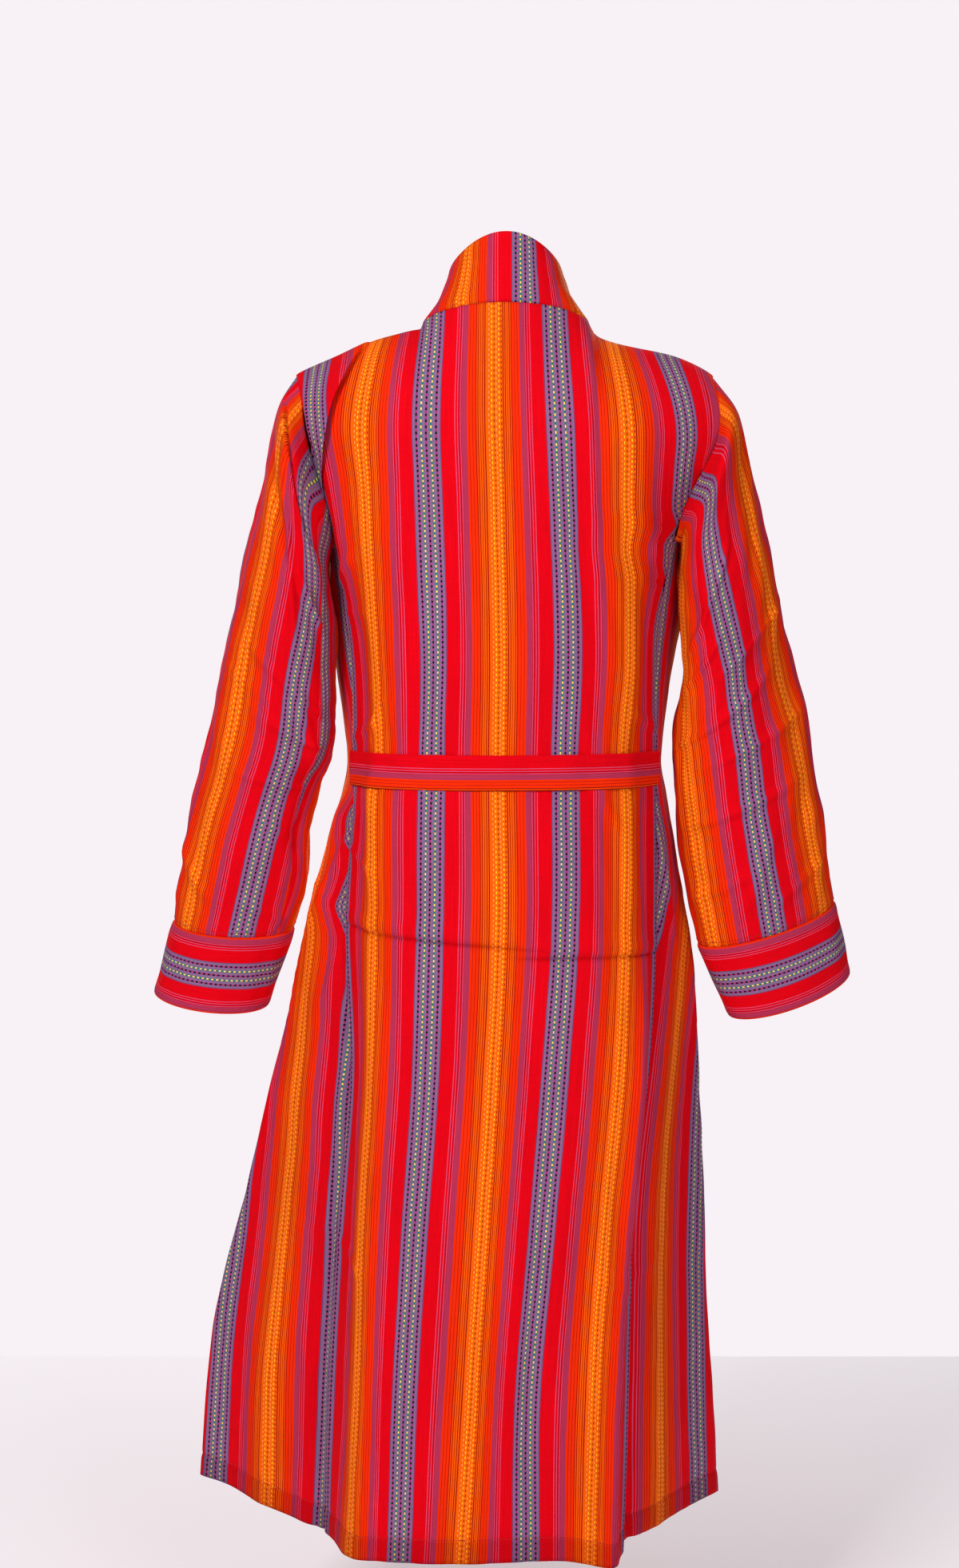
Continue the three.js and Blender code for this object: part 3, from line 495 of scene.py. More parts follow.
# Folds: from u, v to u, v, half width, height, sharp.
BACK_FOLDS = [
    # the fullness over the right shoulder blade
    (118, 90, 112, 400, 12, 3, False), (92, 70, 100, 330, 9, 2.5, False), (104, 80, 106, 300, 7, -2, False),
    # long folds and troughs of the skirt
    (-112, 700, -116, 1222, 12, 5, False), (160, 640, 162, 1222, 11, 6, False),
    (36, 640, 30, 1222, 30, 3, False), (-40, 520, -52, 900, 16, 1.6, False),
    (92, 560, 84, 980, 18, 2.0, False),
    (187, 600, 187, 1222, 5, 3.5, False), (-187, 600, -187, 1222, 5, 2.5, False),
    (60, 700, 72, 1222, 14, -2.5, False), (-60, 760, -66, 1222, 16, -2.5, False),
    # the swell above the pressed crease, and short wrinkles that start at the side seams
    (-192, 597, 35, 616, 9, 1.6, False), (22, 624, 192, 625, 9, 1.6, False),
    (120, 948, 192, 966, 3.5, 2.2, True), (-192, 918, -122, 948, 3.5, 2.6, True),
    (-190, 528, -124, 554, 4, 3.0, True), (-186, 292, -134, 294, 3, 2.2, True),
    # gathers under the armholes, and pulls at the waist
    (160, 200, 194, 208, 3.5, -3.5, True), (158, 257, 194, 264, 3.5, -3.5, True),
    (156, 232, 194, 236, 9, 3.0, False), (-150, 236, -194, 262, 7, 3.2, False),
    (140, 392, 192, 410, 5, 2.6, False), (-132, 400, -192, 420, 5, 2.6, False),
    (-118, 372, -150, 424, 5, 2.0, False), (96, 470, 128, 512, 5, 1.8, False),
]
# The crease pressed across the back where it was stored folded, in two runs, its depth, and how much painted
# shade lies along its bottom.
PRESSED_CREASE = [(-192, 606, 35, 625, 1.8), (22, 633, 192, 634, 1.8)]
CREASE_HEIGHT, CREASE_SHADE = -3.0, 1.6
# At the left shoulder the cloth laps over itself: the line as v and u, and how far and how high the outer
# side rides; over what width it turns and fades, and how much the under side sinks for that.
SHOULDER_LAP = ([4, 35, 60, 85, 105, 120, 133, 160, 200],
                [-140, -152, -160, -170, -177, -182, -187, -192, -196])
LAP_REACH = ([0, 10, 35, 60, 85, 105, 120, 140, 165, 200], [1, 3, 8, 11, 16, 20, 21, 19, 10, 0])
LAP_RISE = ([0, 10, 35, 85, 115, 150, 200], [2, 4, 7, 9, 9, 6, 0])
LAP_TURN, LAP_FADE, LAP_UNDER = 3, 26, 0.35
# The belt holds the cloth in: the length of its line, how far it is felt, and how much slack it takes.
WAIST_LINE, WAIST_REACH, WAIST_HOLD = 448, 60, 0.8
# The turned hem: how quickly its second layer starts, how thick it reads, and its stitched line.
HEM_STEP, HEM_SWELL, HEM_STITCH_SINK, HEM_STITCH_REACH = 1.5, 0.5, 0.7, 3.0
BACK_SEAM_SINK, SEAM_SINK_REACH = 2.2, 2.5
# Where the seams and the shoulder stop holding the cloth stiff, and how far on it hangs quite loose.
STIFF_BY_SEAM, STIFF_BY_SHOULDER = (4, 30), (60, 120)
BACK_COLUMNS, BACK_STEPS = 146, 300
# Where the grid is closer: place, width, and how much.
BACK_CLOSER_DOWN = [(50, 80, 1.0), (620, 20, 4.0), (445, 30, 0.6), (HEM_LINE, 6, 3.0)]
BACK_CLOSER_ACROSS = [(0.0, 0.1, 1.6), (1.0, 0.05, 0.8)]
# Gathers under the right armhole push the last stripe out and in: lengths v, shifts, and how far in that
# is felt.
GATHER_SHIFT = ([150, 186, 206, 232, 259, 276, 312, 360, 440], [0, -2, -13, 17, -13, 0, 17, 6, 0])
GATHER_REACH = 28


def lap_over(points, normals, u, v):
    """Moves the cloth beside the shoulder lap so that its outer side lies over its inner one."""
    across = np.gradient(points, axis=0)
    across = across / np.linalg.norm(across, axis=-1, keepdims=True)
    away = along(*SHOULDER_LAP, v) - u
    over = np.tanh(away / LAP_TURN)
    near = np.exp(-np.abs(away) / LAP_FADE)
    slide = along(*LAP_REACH, v) * over * near
    outer = 0.5 + 0.5 * over
    height = along(*LAP_RISE, v) * near * (outer - LAP_UNDER * (1 - outer))
    return points + across * slide[..., None] + normals * height[..., None]


def spaced(length, steps, closer):
    """Places along a length, closer together round each (place, width, how much) of closer."""
    fine = np.linspace(0, length, 2001)
    weight = 1 + sum(extra * np.exp(-((fine - place) / width) ** 2) for place, width, extra in closer)
    run = np.concatenate([[0], np.cumsum((weight[1:] + weight[:-1]) / 2)])
    return np.interp(np.linspace(0, run[-1], steps + 1), run, fine)


def looseness(seam, v):
    """How freely a panel hangs: not at all at its seams and shoulder, fully some way from them."""
    return rising(seam, *STIFF_BY_SEAM) * rising(v, *STIFF_BY_SHOULDER)


def turned_hem(v):
    """Share of the hem's second layer at lengths v, which also sets the hem's painted shade, and the height
    that it and its stitched line give.
    """
    layer = rising(v, HEM_LINE, HEM_STEP)
    return layer, HEM_SWELL * layer - HEM_STITCH_SINK * np.exp(-((v - HEM_LINE) / HEM_STITCH_REACH) ** 2)


def back_sheet():
    """The back's grid: points, cloth positions u and v, distance to a seam, and painted shade along the
    turned hem and the pressed crease.
    """
    v = spaced(BODY_LENGTH, BACK_STEPS, BACK_CLOSER_DOWN)
    share = spaced(1, BACK_COLUMNS, BACK_CLOSER_ACROSS)
    rows, u = [], []
    for length in v:
        across = mix(armhole_edge(1, length), armhole_edge(-1, length), share)
        rows.append(back_row(across, length))
        u.append(across)
    points, u = np.stack(rows, axis=1), np.stack(u, axis=1)
    v = np.broadcast_to(v, u.shape)
    seam = np.minimum(u - u[:1], u[-1:] - u)
    normals, _ = outward_normals(points, False, points * [0, 0, 1])
    loose = looseness(seam, v)
    at_belt = smooth(1 - np.abs(v - WAIST_LINE) / WAIST_REACH)
    height = folds_at(BACK_FOLDS, u, v)
    height += folds_at([run + (CREASE_HEIGHT, True) for run in PRESSED_CREASE], u, v)
    height += loose * (1 - WAIST_HOLD * at_belt) * slack(u, v, seed=3, across=130, down=520, height=1.5)
    height += loose * (1 - at_belt) * slack(u, v, seed=4, across=45, down=150, height=0.5)
    height += loose * at_belt * slack(u, v, seed=5, across=26, down=240, height=0.9)
    height -= BACK_SEAM_SINK * np.exp(-seam / SEAM_SINK_REACH)
    hem, hem_height = turned_hem(v)
    points = lap_over(points, normals, u, v)
    # Painted shade: darker along the bottom of the pressed crease and along the turned hem.
    crease_shade = folds_at([run + (CREASE_SHADE, True) for run in PRESSED_CREASE], u, v)
    points = points + normals * (height + hem_height)[..., None]
    return points, u, v, seam, np.maximum(hem, crease_shade)


back_points, back_u, back_v, back_seam, back_painted_shade = back_sheet()
gathered = along(*GATHER_SHIFT, back_v) * np.exp(-(back_u[-1:] - back_u) / GATHER_REACH)
weave = np.stack([back_u + gathered, back_v], axis=-1)
back = sew_piece("back_panel", back_points, weave, seam=back_seam, painted_shade=back_painted_shade)
back.data.materials.append(BODY_CLOTH)
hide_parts("back")

# ---- the fronts ------------------------------------------------------------------------------------
# Two panels of the same cloth, joined to the back at the shoulders and down both sides, the wearer's
# left one lapping over the right. They flare towards the hem, so much of each shows beside the back.

# At each length v a front is in plan a quarter of a rounded oblong, from the tip beside the side seam,
# where the cloth turns forwards, to the centre front: tip x and y, depth, and how far the collar seam
# lies off centre.
FRONT_ROWS = [130, 215, 285, 330, 440, 475, 600, 750, 900, 1060, 1222]
FRONT_SHAPE = {
    1: {"tip_x": [196, 189, 186, 178, 162, 168, 205, 240, 272, 311, 321],
        "tip_y": [-14, -44, -44, -42, -34, -30, -28, -44, -58, -74, -85]},
    -1: {"tip_x": [-206, -187, -187, -178, -162, -168, -190, -204, -208, -217, -226],
         "tip_y": [-14, -48, -44, -42, -34, -31, -36, -50, -60, -70, -80]},
}
FRONT_DEPTH = [98, 114, 114, 112, 104, 104, 112, 122, 132, 142, 150]
FRONT_EDGE = [62, 40, 22, 12, 8, 8, 8, 8, 8, 8, 8]
CENTRE_FRONT = ([0, 475, 1222], [0, 0, 34])
FRONT_ROUNDNESS = 2.5
LAP_SEPARATION = 7
# The flare lifts the hem: by how much, from what length on and over how much of it, and at what share of
# the width the most.
FLARE_RISE, FLARE_FROM, FLARE_LENGTH, FLARE_TIP = {1: 20, -1: 4}, 600, 600, 0.38
# Soft folds of ease in the front's middle: how many, how deep, from what length on, over how much of it,
# between what shares of the width, and over what share they fade.
EASE_FOLDS, EASE_HEIGHT, EASE_FROM, EASE_LENGTH = 3, 7, 250, 500
EASE_START, EASE_END, EASE_FADE = 0.34, 0.82, 0.2
# What the armhole takes off each front's width, by length v.
ARMHOLE_CUT = ([130, 170, 200, 215], [104, 88, 50, 0])
# How the front's cloth leaves the shoulder seam and reaches the yoke line.
FRONT_LEAVING, FRONT_REACHING = (0, -0.9, -0.4), (0, -0.15, -1)
# Cloth position of each front's side edge, from the centre back, and section length per mm of cloth.
FRONT_EDGE_U = {
    1: ([0, 130, 215, 330, 440, 475, 528, 624, 700, 780, 856, 992, 1222],
        [195, 195, 195, 196, 232, 226, 213, 211, 195, 186, 190, 195, 195]),
    -1: ([0, 130, 215, 330, 440, 475, 520, 560, 640, 750, 1222],
         [195, 195, 195, 197, 205, 204, 186, 184, 201, 208, 208]),
}
FRONT_STRETCH = ([0, 130, 475, 1222], [0.92, 1.0, 1.08, 1.18])
# Where the left side seam was let run over the front's stripes: lengths v, shifts, and how far in that is
# felt.
SEAM_WANDER = ([475, 488, 501, 518, 535, 560, 575, 590, 606, 622, 700],
               [0, -18, -34, -20, -3, -5, -14, -25, -12, -2, 0])
WANDER_REACH = 45


def run_along(points):
    """Length from the first point to each point, along the first axis of a path or a grid of points."""
    step = np.linalg.norm(np.diff(points, axis=0), axis=-1)
    return np.concatenate([np.zeros((1,) + step.shape[1:]), np.cumsum(step, axis=0)])


def front_depth(side, layer, x, v):
    """How far a front stands before the shoulders at places x, between its tip and the centre front."""
    shape = FRONT_SHAPE[side]
    tip_x, tip_y = along(FRONT_ROWS, shape["tip_x"], v), along(FRONT_ROWS, shape["tip_y"], v)
    depth = along(FRONT_ROWS, FRONT_DEPTH, v) + layer * LAP_SEPARATION / 2
    centre = along(*CENTRE_FRONT, v)
    share = np.minimum(1, np.abs(x - centre) / abs(tip_x - centre))
    return tip_y - (depth + tip_y) * (1 - share**FRONT_ROUNDNESS) ** (1 / FRONT_ROUNDNESS)


def front_section(side, v):
    """The plan curve of a front from its side seam to the collar seam: x, y and length along it."""
    seam = back_section(np.array([float(armhole_edge(side, v))]), v)[0]
    tip_x, centre = along(FRONT_ROWS, FRONT_SHAPE[side]["tip_x"], v), along(*CENTRE_FRONT, v)
    edge_share = along(FRONT_ROWS, FRONT_EDGE, v) / abs(tip_x - centre)
    angles = np.linspace(0, math.acos(edge_share ** (FRONT_ROUNDNESS / 2)), 61)
    x = centre + (tip_x - centre) * np.cos(angles) ** (2 / FRONT_ROUNDNESS)
    y = front_depth(side, side, x, v)
    x, y = np.concatenate([[seam[0]], x]), np.concatenate([[seam[1]], y])
    return x, y, run_along(np.stack([x, y], axis=-1))


def front_row(side, share, v):
    """Points of a front at shares of its width, at one length v, with their cloth positions u."""
    share = np.asarray(share, float)
    low = max(v, YOKE_LENGTH)
    x, y, s = front_section(side, low)
    start = along(*ARMHOLE_CUT, low) if low < ARMHOLE_DEPTH else 0
    at = mix(start, s[-1], share)
    tip_share = smooth(1 - np.abs(share - FLARE_TIP) / FLARE_TIP)
    rise = FLARE_RISE[side] * rising(v, FLARE_FROM, FLARE_LENGTH) * tip_share
    ease = rising(v, EASE_FROM, EASE_LENGTH)
    ease = ease * rising(share, EASE_START, EASE_FADE) * smooth((EASE_END - share) / EASE_FADE)
    wave = EASE_HEIGHT * ease * np.sin(share * math.pi * 2 * EASE_FOLDS)
    points = np.stack([np.interp(at, s, x), np.interp(at, s, y) - wave, rise - low], axis=-1)
    run = (s[-1] - start) * share
    wander = along(*SEAM_WANDER, v) * np.exp(-run / WANDER_REACH) if side > 0 else 0
    u = along(*FRONT_EDGE_U[side], v) + start + wander + run / along(*FRONT_STRETCH, v)
    if v < YOKE_LENGTH:
        corner = back_row([float(armhole_edge(side, 0))], 0)[0, 0]
        top = shoulder_points(mix(corner, side * NECK_HALF_WIDTH, share))
        points = bridge(top, np.array(FRONT_LEAVING), points, np.array(FRONT_REACHING), v / YOKE_LENGTH)
    return points, -side * u


# Folds of each front: from share, v to share, v; half width as a share; height; sharp. The shares are of
# one width for both fronts.
FRONT_WIDTH = 430
FRONT_FOLDS = {
    1: [(0.02, 520, 0.20, 610, 0.020, 3.5, False), (0.03, 640, 0.14, 700, 0.02, 2.5, False),
        (0.0, 596, 0.3, 560, 0.012, 1.3, True), (0.14, 560, 0.18, 1222, 0.05, 4.0, False),
        (0.30, 620, 0.34, 1222, 0.04, -3.0, False), (0.0, 905, 0.12, 930, 0.012, 1.3, True),
        (0.022, 640, 0.022, 1222, 0.014, -6.0, False),
        (0.06, 240, 0.2, 300, 0.03, 3.0, False)],
    -1: [(0.02, 520, 0.16, 640, 0.025, 3.0, False), (0.10, 640, 0.12, 1222, 0.04, 3.5, False),
         (0.26, 560, 0.28, 1222, 0.05, -3.0, False), (0.0, 966, 0.16, 930, 0.012, 1.3, True),
         (0.024, 600, 0.024, 1222, 0.015, -9.0, False),
         (0.06, 240, 0.2, 290, 0.03, 3.0, False)],
}
FRONT_SEAM_SINK = 1.6
FRONT_COLUMNS, FRONT_STEPS = 92, 250
FRONT_CLOSER_DOWN = [(60, 90, 0.5), (600, 60, 0.8), (HEM_LINE, 6, 3.0)]
FRONT_CLOSER_ACROSS = [(0.0, 0.12, 1.2)]


def front_folds(side, share, v):
    """Height of one front's folds at shares of its width and lengths v."""
    table = [(share_0 * FRONT_WIDTH, v_0, share_1 * FRONT_WIDTH, v_1, width * FRONT_WIDTH, height, sharp)
             for share_0, v_0, share_1, v_1, width, height, sharp in FRONT_FOLDS[side]]
    return folds_at(table, share * FRONT_WIDTH, v)


def front_sheet(side):
    """A front's grid: points, cloth positions u and v, distance to a seam, and the hem's second layer, which
    sets its painted shade.
    """
    v = spaced(BODY_LENGTH, FRONT_STEPS, FRONT_CLOSER_DOWN)
    share = spaced(1, FRONT_COLUMNS, FRONT_CLOSER_ACROSS)
    made = [front_row(side, share, length) for length in v]
    points = np.stack([row[0] for row in made], axis=1)
    u = np.stack([row[1] for row in made], axis=1)
    v, share = np.broadcast_to(v, u.shape), np.broadcast_to(share[:, None], u.shape)
    width = np.abs(u[-1:] - u[:1])
    seam = np.minimum(share, 1 - share) * width
    normals, _ = outward_normals(points, False, points * [0, 0, 1])
    loose = looseness(seam, v)
    height = front_folds(side, share, v)
    height += loose * slack(u, v, seed=11 + side, across=120, down=480, height=2.0)
    height += loose * slack(u, v, seed=15 + side, across=45, down=160, height=0.5)
    height -= FRONT_SEAM_SINK * np.exp(-seam / SEAM_SINK_REACH)
    hem, hem_height = turned_hem(v)
    return points + normals * (height + hem_height)[..., None], u, v, seam, hem


FRONTS, FRONT_GRIDS = {}, {}
for side, word in ((1, "left"), (-1, "right")):
    points, u, v, seam, hem = front_sheet(side)
    FRONT_GRIDS[side] = (points, v[0])
    front = sew_piece("front_panel_" + word, points, np.stack([u, v], axis=-1), seam=seam, painted_shade=hem)
    front.data.materials.append(BODY_CLOTH)
    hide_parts("front_" + word)
    FRONTS[side] = front

# ---- the sleeves -----------------------------------------------------------------------------------
# Two straight sleeves of the same cloth, stripes down the arm, set into the armholes with a plain seam
# and closed under the arm. They hang down the arms and bend a little forwards at the elbow.

# Rings down each sleeve: outer x, z, inner x, z, half depth, y, turn (of the outer fold to the front),
# tilt (of the back downwards).
SLEEVE_RINGS = {
    1: [(232, -84, 186, -228, 70, 10, 0, 0), (247, -162, 179, -272, 64, 12, 0, 0.03),
        (267, -236, 174, -322, 59, 8, 0, 0.06), (285, -309, 174, -379, 55, -3, 0, 0.1),
        (304, -400, 178, -433, 51, -14, 0, 0.14), (317, -454, 191, -466, 49, -22, 0, 0.17),
        (328, -503, 203, -512, 47, -28, 0, 0.2), (337, -558, 206, -562, 46, -34, 0, 0.22),
        (345, -609, 220, -616, 45, -40, 0, 0.24)],
    -1: [(-235, -86, -187, -218, 70, 10, 0, 0), (-245, -134, -178, -256, 64, 10, 0.06, 0.03),
         (-261, -196, -181, -304, 59, 6, 0.12, 0.06), (-279, -264, -180, -357, 56, -3, 0.18, 0.1),
         (-295, -338, -174, -404, 53, -12, 0.22, 0.14), (-312, -404, -173, -441, 51, -17, 0.24, 0.17),
         (-323, -475, -177, -487, 49, -23, 0.24, 0.2), (-333, -533, -184, -549, 47, -30, 0.24, 0.22),
         (-344, -594, -199, -628, 45, -38, 0.24, 0.24)],
}
RING_SKEW = 0.4
# Places down the sleeve (0 to 1) and how far the orange stripe lies behind the outer fold there.
SLEEVE_ORANGE = {1: ([0, 0.1, 0.3, 0.55, 1], [67, 65, 57, 50, 31]),
                 -1: ([0, 0.3, 0.6, 0.75, 1], [55, 46, 38, 34, 31])}
# Folds: from s, v to s, v, with s from the outer fold towards the back, half width, height, sharp.
SLEEVE_FOLDS = {
    1: [(40, 60, 120, 150, 8, -4, False), (60, 222, 175, 262, 5, 3.6, False),
        (84, 280, 178, 304, 5, 4.2, False), (60, 336, 172, 356, 4, 3.0, True),
        (84, 40, 112, 190, 5, 6, False), (8, 420, 60, 470, 6, 3, False),
        (90, 466, 170, 506, 6, 3.2, False), (30, 540, 120, 556, 5, 2.4, False),
        (120, 236, 150, 330, 6, 3.4, False), (20, 250, 96, 262, 3, 1.8, True),
        (112, 120, 178, 176, 6, 4, False), (100, 380, 176, 430, 5, 3.0, False)],
    -1: [(10, 205, 124, 222, 4, 3.6, True), (16, 296, 140, 316, 4, 3.8, True),
         (60, 252, 176, 284, 5, 3.4, False), (50, 352, 168, 384, 5, 3.2, False),
         (20, 440, 90, 470, 6, 2.8, False), (110, 436, 176, 456, 5, 3.0, False),
         (24, 60, 60, 200, 9, 4, False), (60, 540, 150, 560, 5, 2.4, False),
         (96, 110, 170, 168, 6, 4, False), (120, 180, 176, 214, 5, 3.2, False),
         (80, 396, 120, 470, 6, 2.6, False)],
}
SLEEVE_AROUND, SLEEVE_STEPS = 144, 190
# Each sleeve starts this far inside the armhole's edge, and sinks this much beside its seams.
ARMHOLE_TUCK, SLEEVE_SEAM_SINK = 2.2, 1.4
# The underarm fold rests against the body: how far it swells, where, and over what length.
UNDERARM_SWELL, UNDERARM_PLACE, UNDERARM_LENGTH = 9, 30, 30
# The left sleeve's cap is folded back on itself beside the armhole: places s of the fold and its lengths
# v, how high the fold rides and how far the cloth behind it sinks, each with its reach, and how much the
# stripes slant there, up to a limit.
CAP_FOLD = ([39, 81, 98, 110, 127, 135, 150], [25, 34, 39, 49, 60, 68, 72])
CAP_RISE, CAP_RISE_REACH, CAP_SINK, CAP_SINK_REACH = 5, 14, 7, 16
CAP_SLANT, CAP_SLANT_LIMIT = 0.6, 45
# Between which places s the cap is folded, over what width that starts and ends, how sharply the fold
# turns, and how far from the armhole its under side reaches full depth.
CAP_FROM, CAP_FADE_IN, CAP_TO, CAP_FADE_OUT, CAP_TURN, CAP_START = 20, 40, 170, 70, 1.5, 12
# How far each sleeve's long seam is turned from the underarm to the back, as columns of its grid.
SEAM_TURNED = {1: 16, -1: 0}
# The stripe that the left sleeve's seam cuts, how far the cloth gives to follow it, and over what width.
SEAM_STRIPE, SEAM_GIVE, SEAM_REACH = -334, (-60, 25), 80
# Where each sleeve's inner stripes bulge towards the body: lengths v and amounts, and from what place s on.
INNER_FROM = (70, 60)
INNER_WANDER = {1: ([0, 30, 60, 92, 142, 173, 252], [10, 14, 14, 13, 11, 7, 0]),
                -1: ([0, 56, 132, 190, 240, 320], [19, 17, 12, 6, -2, 0])}
# Where the armhole and the cuff stop holding the sleeve stiff, and how far on it hangs quite loose.
STIFF_BY_ARMHOLE, STIFF_BY_CUFF = (20, 60), (0, 40)


def ring_points(row, angles):
    """The points of one sleeve ring: angle 0 on its outer fold, a quarter turn on at the back."""
    out_x, out_z, in_x, in_z, depth, y, turn, tilt = row
    centre = np.array([(out_x + in_x) / 2, y, (out_z + in_z) / 2])
    half = np.array([(out_x - in_x) / 2, 0, (out_z - in_z) / 2])
    behind = np.array([0, depth, -depth * tilt])
    outward, backward = half - behind * turn, behind - half * turn * RING_SKEW
    return centre + np.cos(angles)[:, None] * outward + np.sin(angles)[:, None] * backward


def armhole_ring(side, angles):
    """The armhole edge: down the back to the underarm, then up the front."""
    lengths = np.linspace(0, ARMHOLE_DEPTH, 41)
    halves = [
        np.array([back_row([float(armhole_edge(side, v))], v)[0] for v in lengths]),
        np.array([front_row(side, [0.0], v)[0][0] for v in lengths[::-1]]),
    ]
    turn = (angles / math.pi) % 2
    ring = np.empty((len(angles), 3))
    for half, points in enumerate(halves):
        length = run_along(points)
        chosen = (turn >= half) & (turn <= half + 1)
        ring[chosen] = along(length, points, (turn[chosen] - half) * length[-1])
    ring[:, 0] -= side * ARMHOLE_TUCK
    return ring


def fold_cap(s, v):
    """The folded cap of the left sleeve: its height, and the shift of the stripes over it."""
    fold = along(*CAP_FOLD, s)
    capped = rising(s, CAP_FROM, CAP_FADE_IN) * smooth((CAP_TO - s) / CAP_FADE_OUT)
    outer = 0.5 + 0.5 * np.tanh((v - fold) / CAP_TURN)
    rise = CAP_RISE * outer * np.exp(-np.maximum(v - fold, 0) / CAP_RISE_REACH)
    under = (1 - outer) * smooth(v / CAP_START)
    sink = CAP_SINK * under * np.exp(-np.maximum(fold - v, 0) / CAP_SINK_REACH)
    return capped * (rise - sink), CAP_SLANT * capped * np.clip(fold - v, 0, CAP_SLANT_LIMIT)


def sleeve_sheet(side):
    """Grid of the sleeve: columns from the underarm over the front, the outer fold and the back."""
    turned = SEAM_TURNED[side]
    angles = np.linspace(-math.pi, math.pi, SLEEVE_AROUND + 1) - 2 * math.pi * turned / SLEEVE_AROUND
    rings = np.stack([armhole_ring(side, angles)] + [ring_points(row, angles) for row in SLEEVE_RINGS[side]])
    t = np.linspace(0, 1, SLEEVE_STEPS + 1)
    points = along(np.arange(len(rings)), rings, t * (len(rings) - 1)).transpose(1, 0, 2)
    centre = np.broadcast_to(points[:-1].mean(axis=0), points.shape)
    s = run_along(points)
    s = s - s[SLEEVE_AROUND // 2 + turned]
    lengths = run_along(points.transpose(1, 0, 2)).mean(axis=1)
    v = np.broadcast_to(lengths, s.shape)
    u = s - along(*SLEEVE_ORANGE[side], t)
    if turned:
        u = u + np.clip(SEAM_STRIPE - u[:1], *SEAM_GIVE) * np.exp(-(s - s[:1]) / SEAM_REACH)
    u = u - along(*INNER_WANDER[side], v) * rising(s, *INNER_FROM)
    normals, _ = outward_normals(points[:-1], True, centre[:-1])
    normals = np.concatenate([normals, normals[:1]])
    to_cuff = lengths[-1] - v
    long_seam = np.minimum(s - s[:1], s[-1:] - s) + 2
    loose = rising(v, *STIFF_BY_ARMHOLE) * rising(to_cuff, *STIFF_BY_CUFF)
    outward, backward = np.cos(angles)[:, None], np.sin(angles)[:, None]
    height = folds_at(SLEEVE_FOLDS[side], s, v)
    if side > 0:
        cap_height, slant = fold_cap(s, v)
        height += cap_height
        u = u + slant
    swell = UNDERARM_SWELL * np.exp(-((v - UNDERARM_PLACE) / UNDERARM_LENGTH) ** 2)
    height += swell * smooth(-1.3 * outward - 0.3)
    height += loose * slack(90 * backward, v, seed=21 + side, across=90, down=160, height=1.6)
    height += loose * slack(60 * outward, v, seed=25 + side, across=40, down=60, height=0.5)
    # The cloth sinks beside the long seam and the cuff, and beside the armhole on the outer side alone.
    sink = np.exp(-np.minimum(long_seam, to_cuff) / SEAM_SINK_REACH)
    height -= SLEEVE_SEAM_SINK * (sink + np.exp(-v / SEAM_SINK_REACH) * (0.5 + 0.5 * outward))
    seam = np.minimum(long_seam, np.minimum(v, to_cuff))
    return points + normals * height[..., None], np.stack([u, v], axis=-1), seam, centre


SLEEVES, SLEEVE_GRIDS = {}, {}
for side, word in ((1, "left"), (-1, "right")):
    points, weave, seam, centre = sleeve_sheet(side)
    SLEEVE_GRIDS[side] = (points[:-1], weave[0, :, 1], centre[:-1])
    sleeve = sew_piece("sleeve_cloth_" + word, points[:-1], weave, closed=True, seam=seam[:-1],
                       axis=centre[:-1])
    sleeve.data.materials.append(BODY_CLOTH)
    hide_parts("sleeve_" + word)
    SLEEVES[side] = sleeve

# ---- the cuffs -------------------------------------------------------------------------------------
# A band on each sleeve's end, cut across the cloth so that the stripes run round the wrist, folded
# double and stitched on just above the seam. It stands open and a little wider than the sleeve.
CUFF_DEPTH = 78
# The open end's ring on each side, in the columns of SLEEVE_RINGS.
CUFF_ENDS = {1: (366, -683, 248, -696, 44, -50, 0, 0.26), -1: (-361, -669, -232, -700, 44, -48, 0.24, 0.3)}
# Cloth across the band per mm of it.
CUFF_STRETCH = 1.04
# A double band's form: how high it stands, how far it sinks at its seam and at its folded edge, each with
# its reach, and how far from its edges it is slack.
CUFF_FORM = {"swell": 0.8, "seam": (2.2, 1.6), "fold": (0.5, 1.2), "slack": 16}
CUFF_STEPS = 26


def band_height(form, across, width, unevenness):
    """Height of a double band over its seamed piece, at places across it from the seam."""
    (seam_sink, seam_reach), (fold_sink, fold_reach) = form["seam"], form["fold"]
    height = unevenness * smooth(np.minimum(across, width - across) / form["slack"])
    height = height + (form["swell"] - seam_sink * np.exp(-across / seam_reach))
    return height - fold_sink * np.exp(-(width - across) / fold_reach)


def cuff_sheet(side):
    """A cuff's grid: points, weave coordinates, distance to its edges, and its middle line."""
    angles = np.linspace(-math.pi, math.pi, SLEEVE_AROUND + 1)
    top, end = ring_points(SLEEVE_RINGS[side][-1], angles), ring_points(CUFF_ENDS[side], angles)
    t = np.linspace(0, 1, CUFF_STEPS + 1)
    points = mix(top[:, None], end[:, None], t[None, :, None])
    centre = np.broadcast_to(points[:-1].mean(axis=0), points.shape)
    normals, _ = outward_normals(points[:-1], True, centre[:-1])
    normals = np.concatenate([normals, normals[:1]])
    down = CUFF_DEPTH * np.broadcast_to(t, points.shape[:2])
    s = np.broadcast_to(run_along(points[:, CUFF_STEPS // 2])[:, None], down.shape)
    edges = np.minimum(down, CUFF_DEPTH - down)
    uneven = slack(70 * np.sin(angles)[:, None], down, seed=31 + side, across=60, down=90, height=0.9)
    height = band_height(CUFF_FORM, down, CUFF_DEPTH, uneven)
    weave = np.stack([STRIPE_REPEAT / 2 + (down - CUFF_DEPTH / 2) * CUFF_STRETCH, s], axis=-1)
    return points + normals * height[..., None], weave, edges + 1, centre


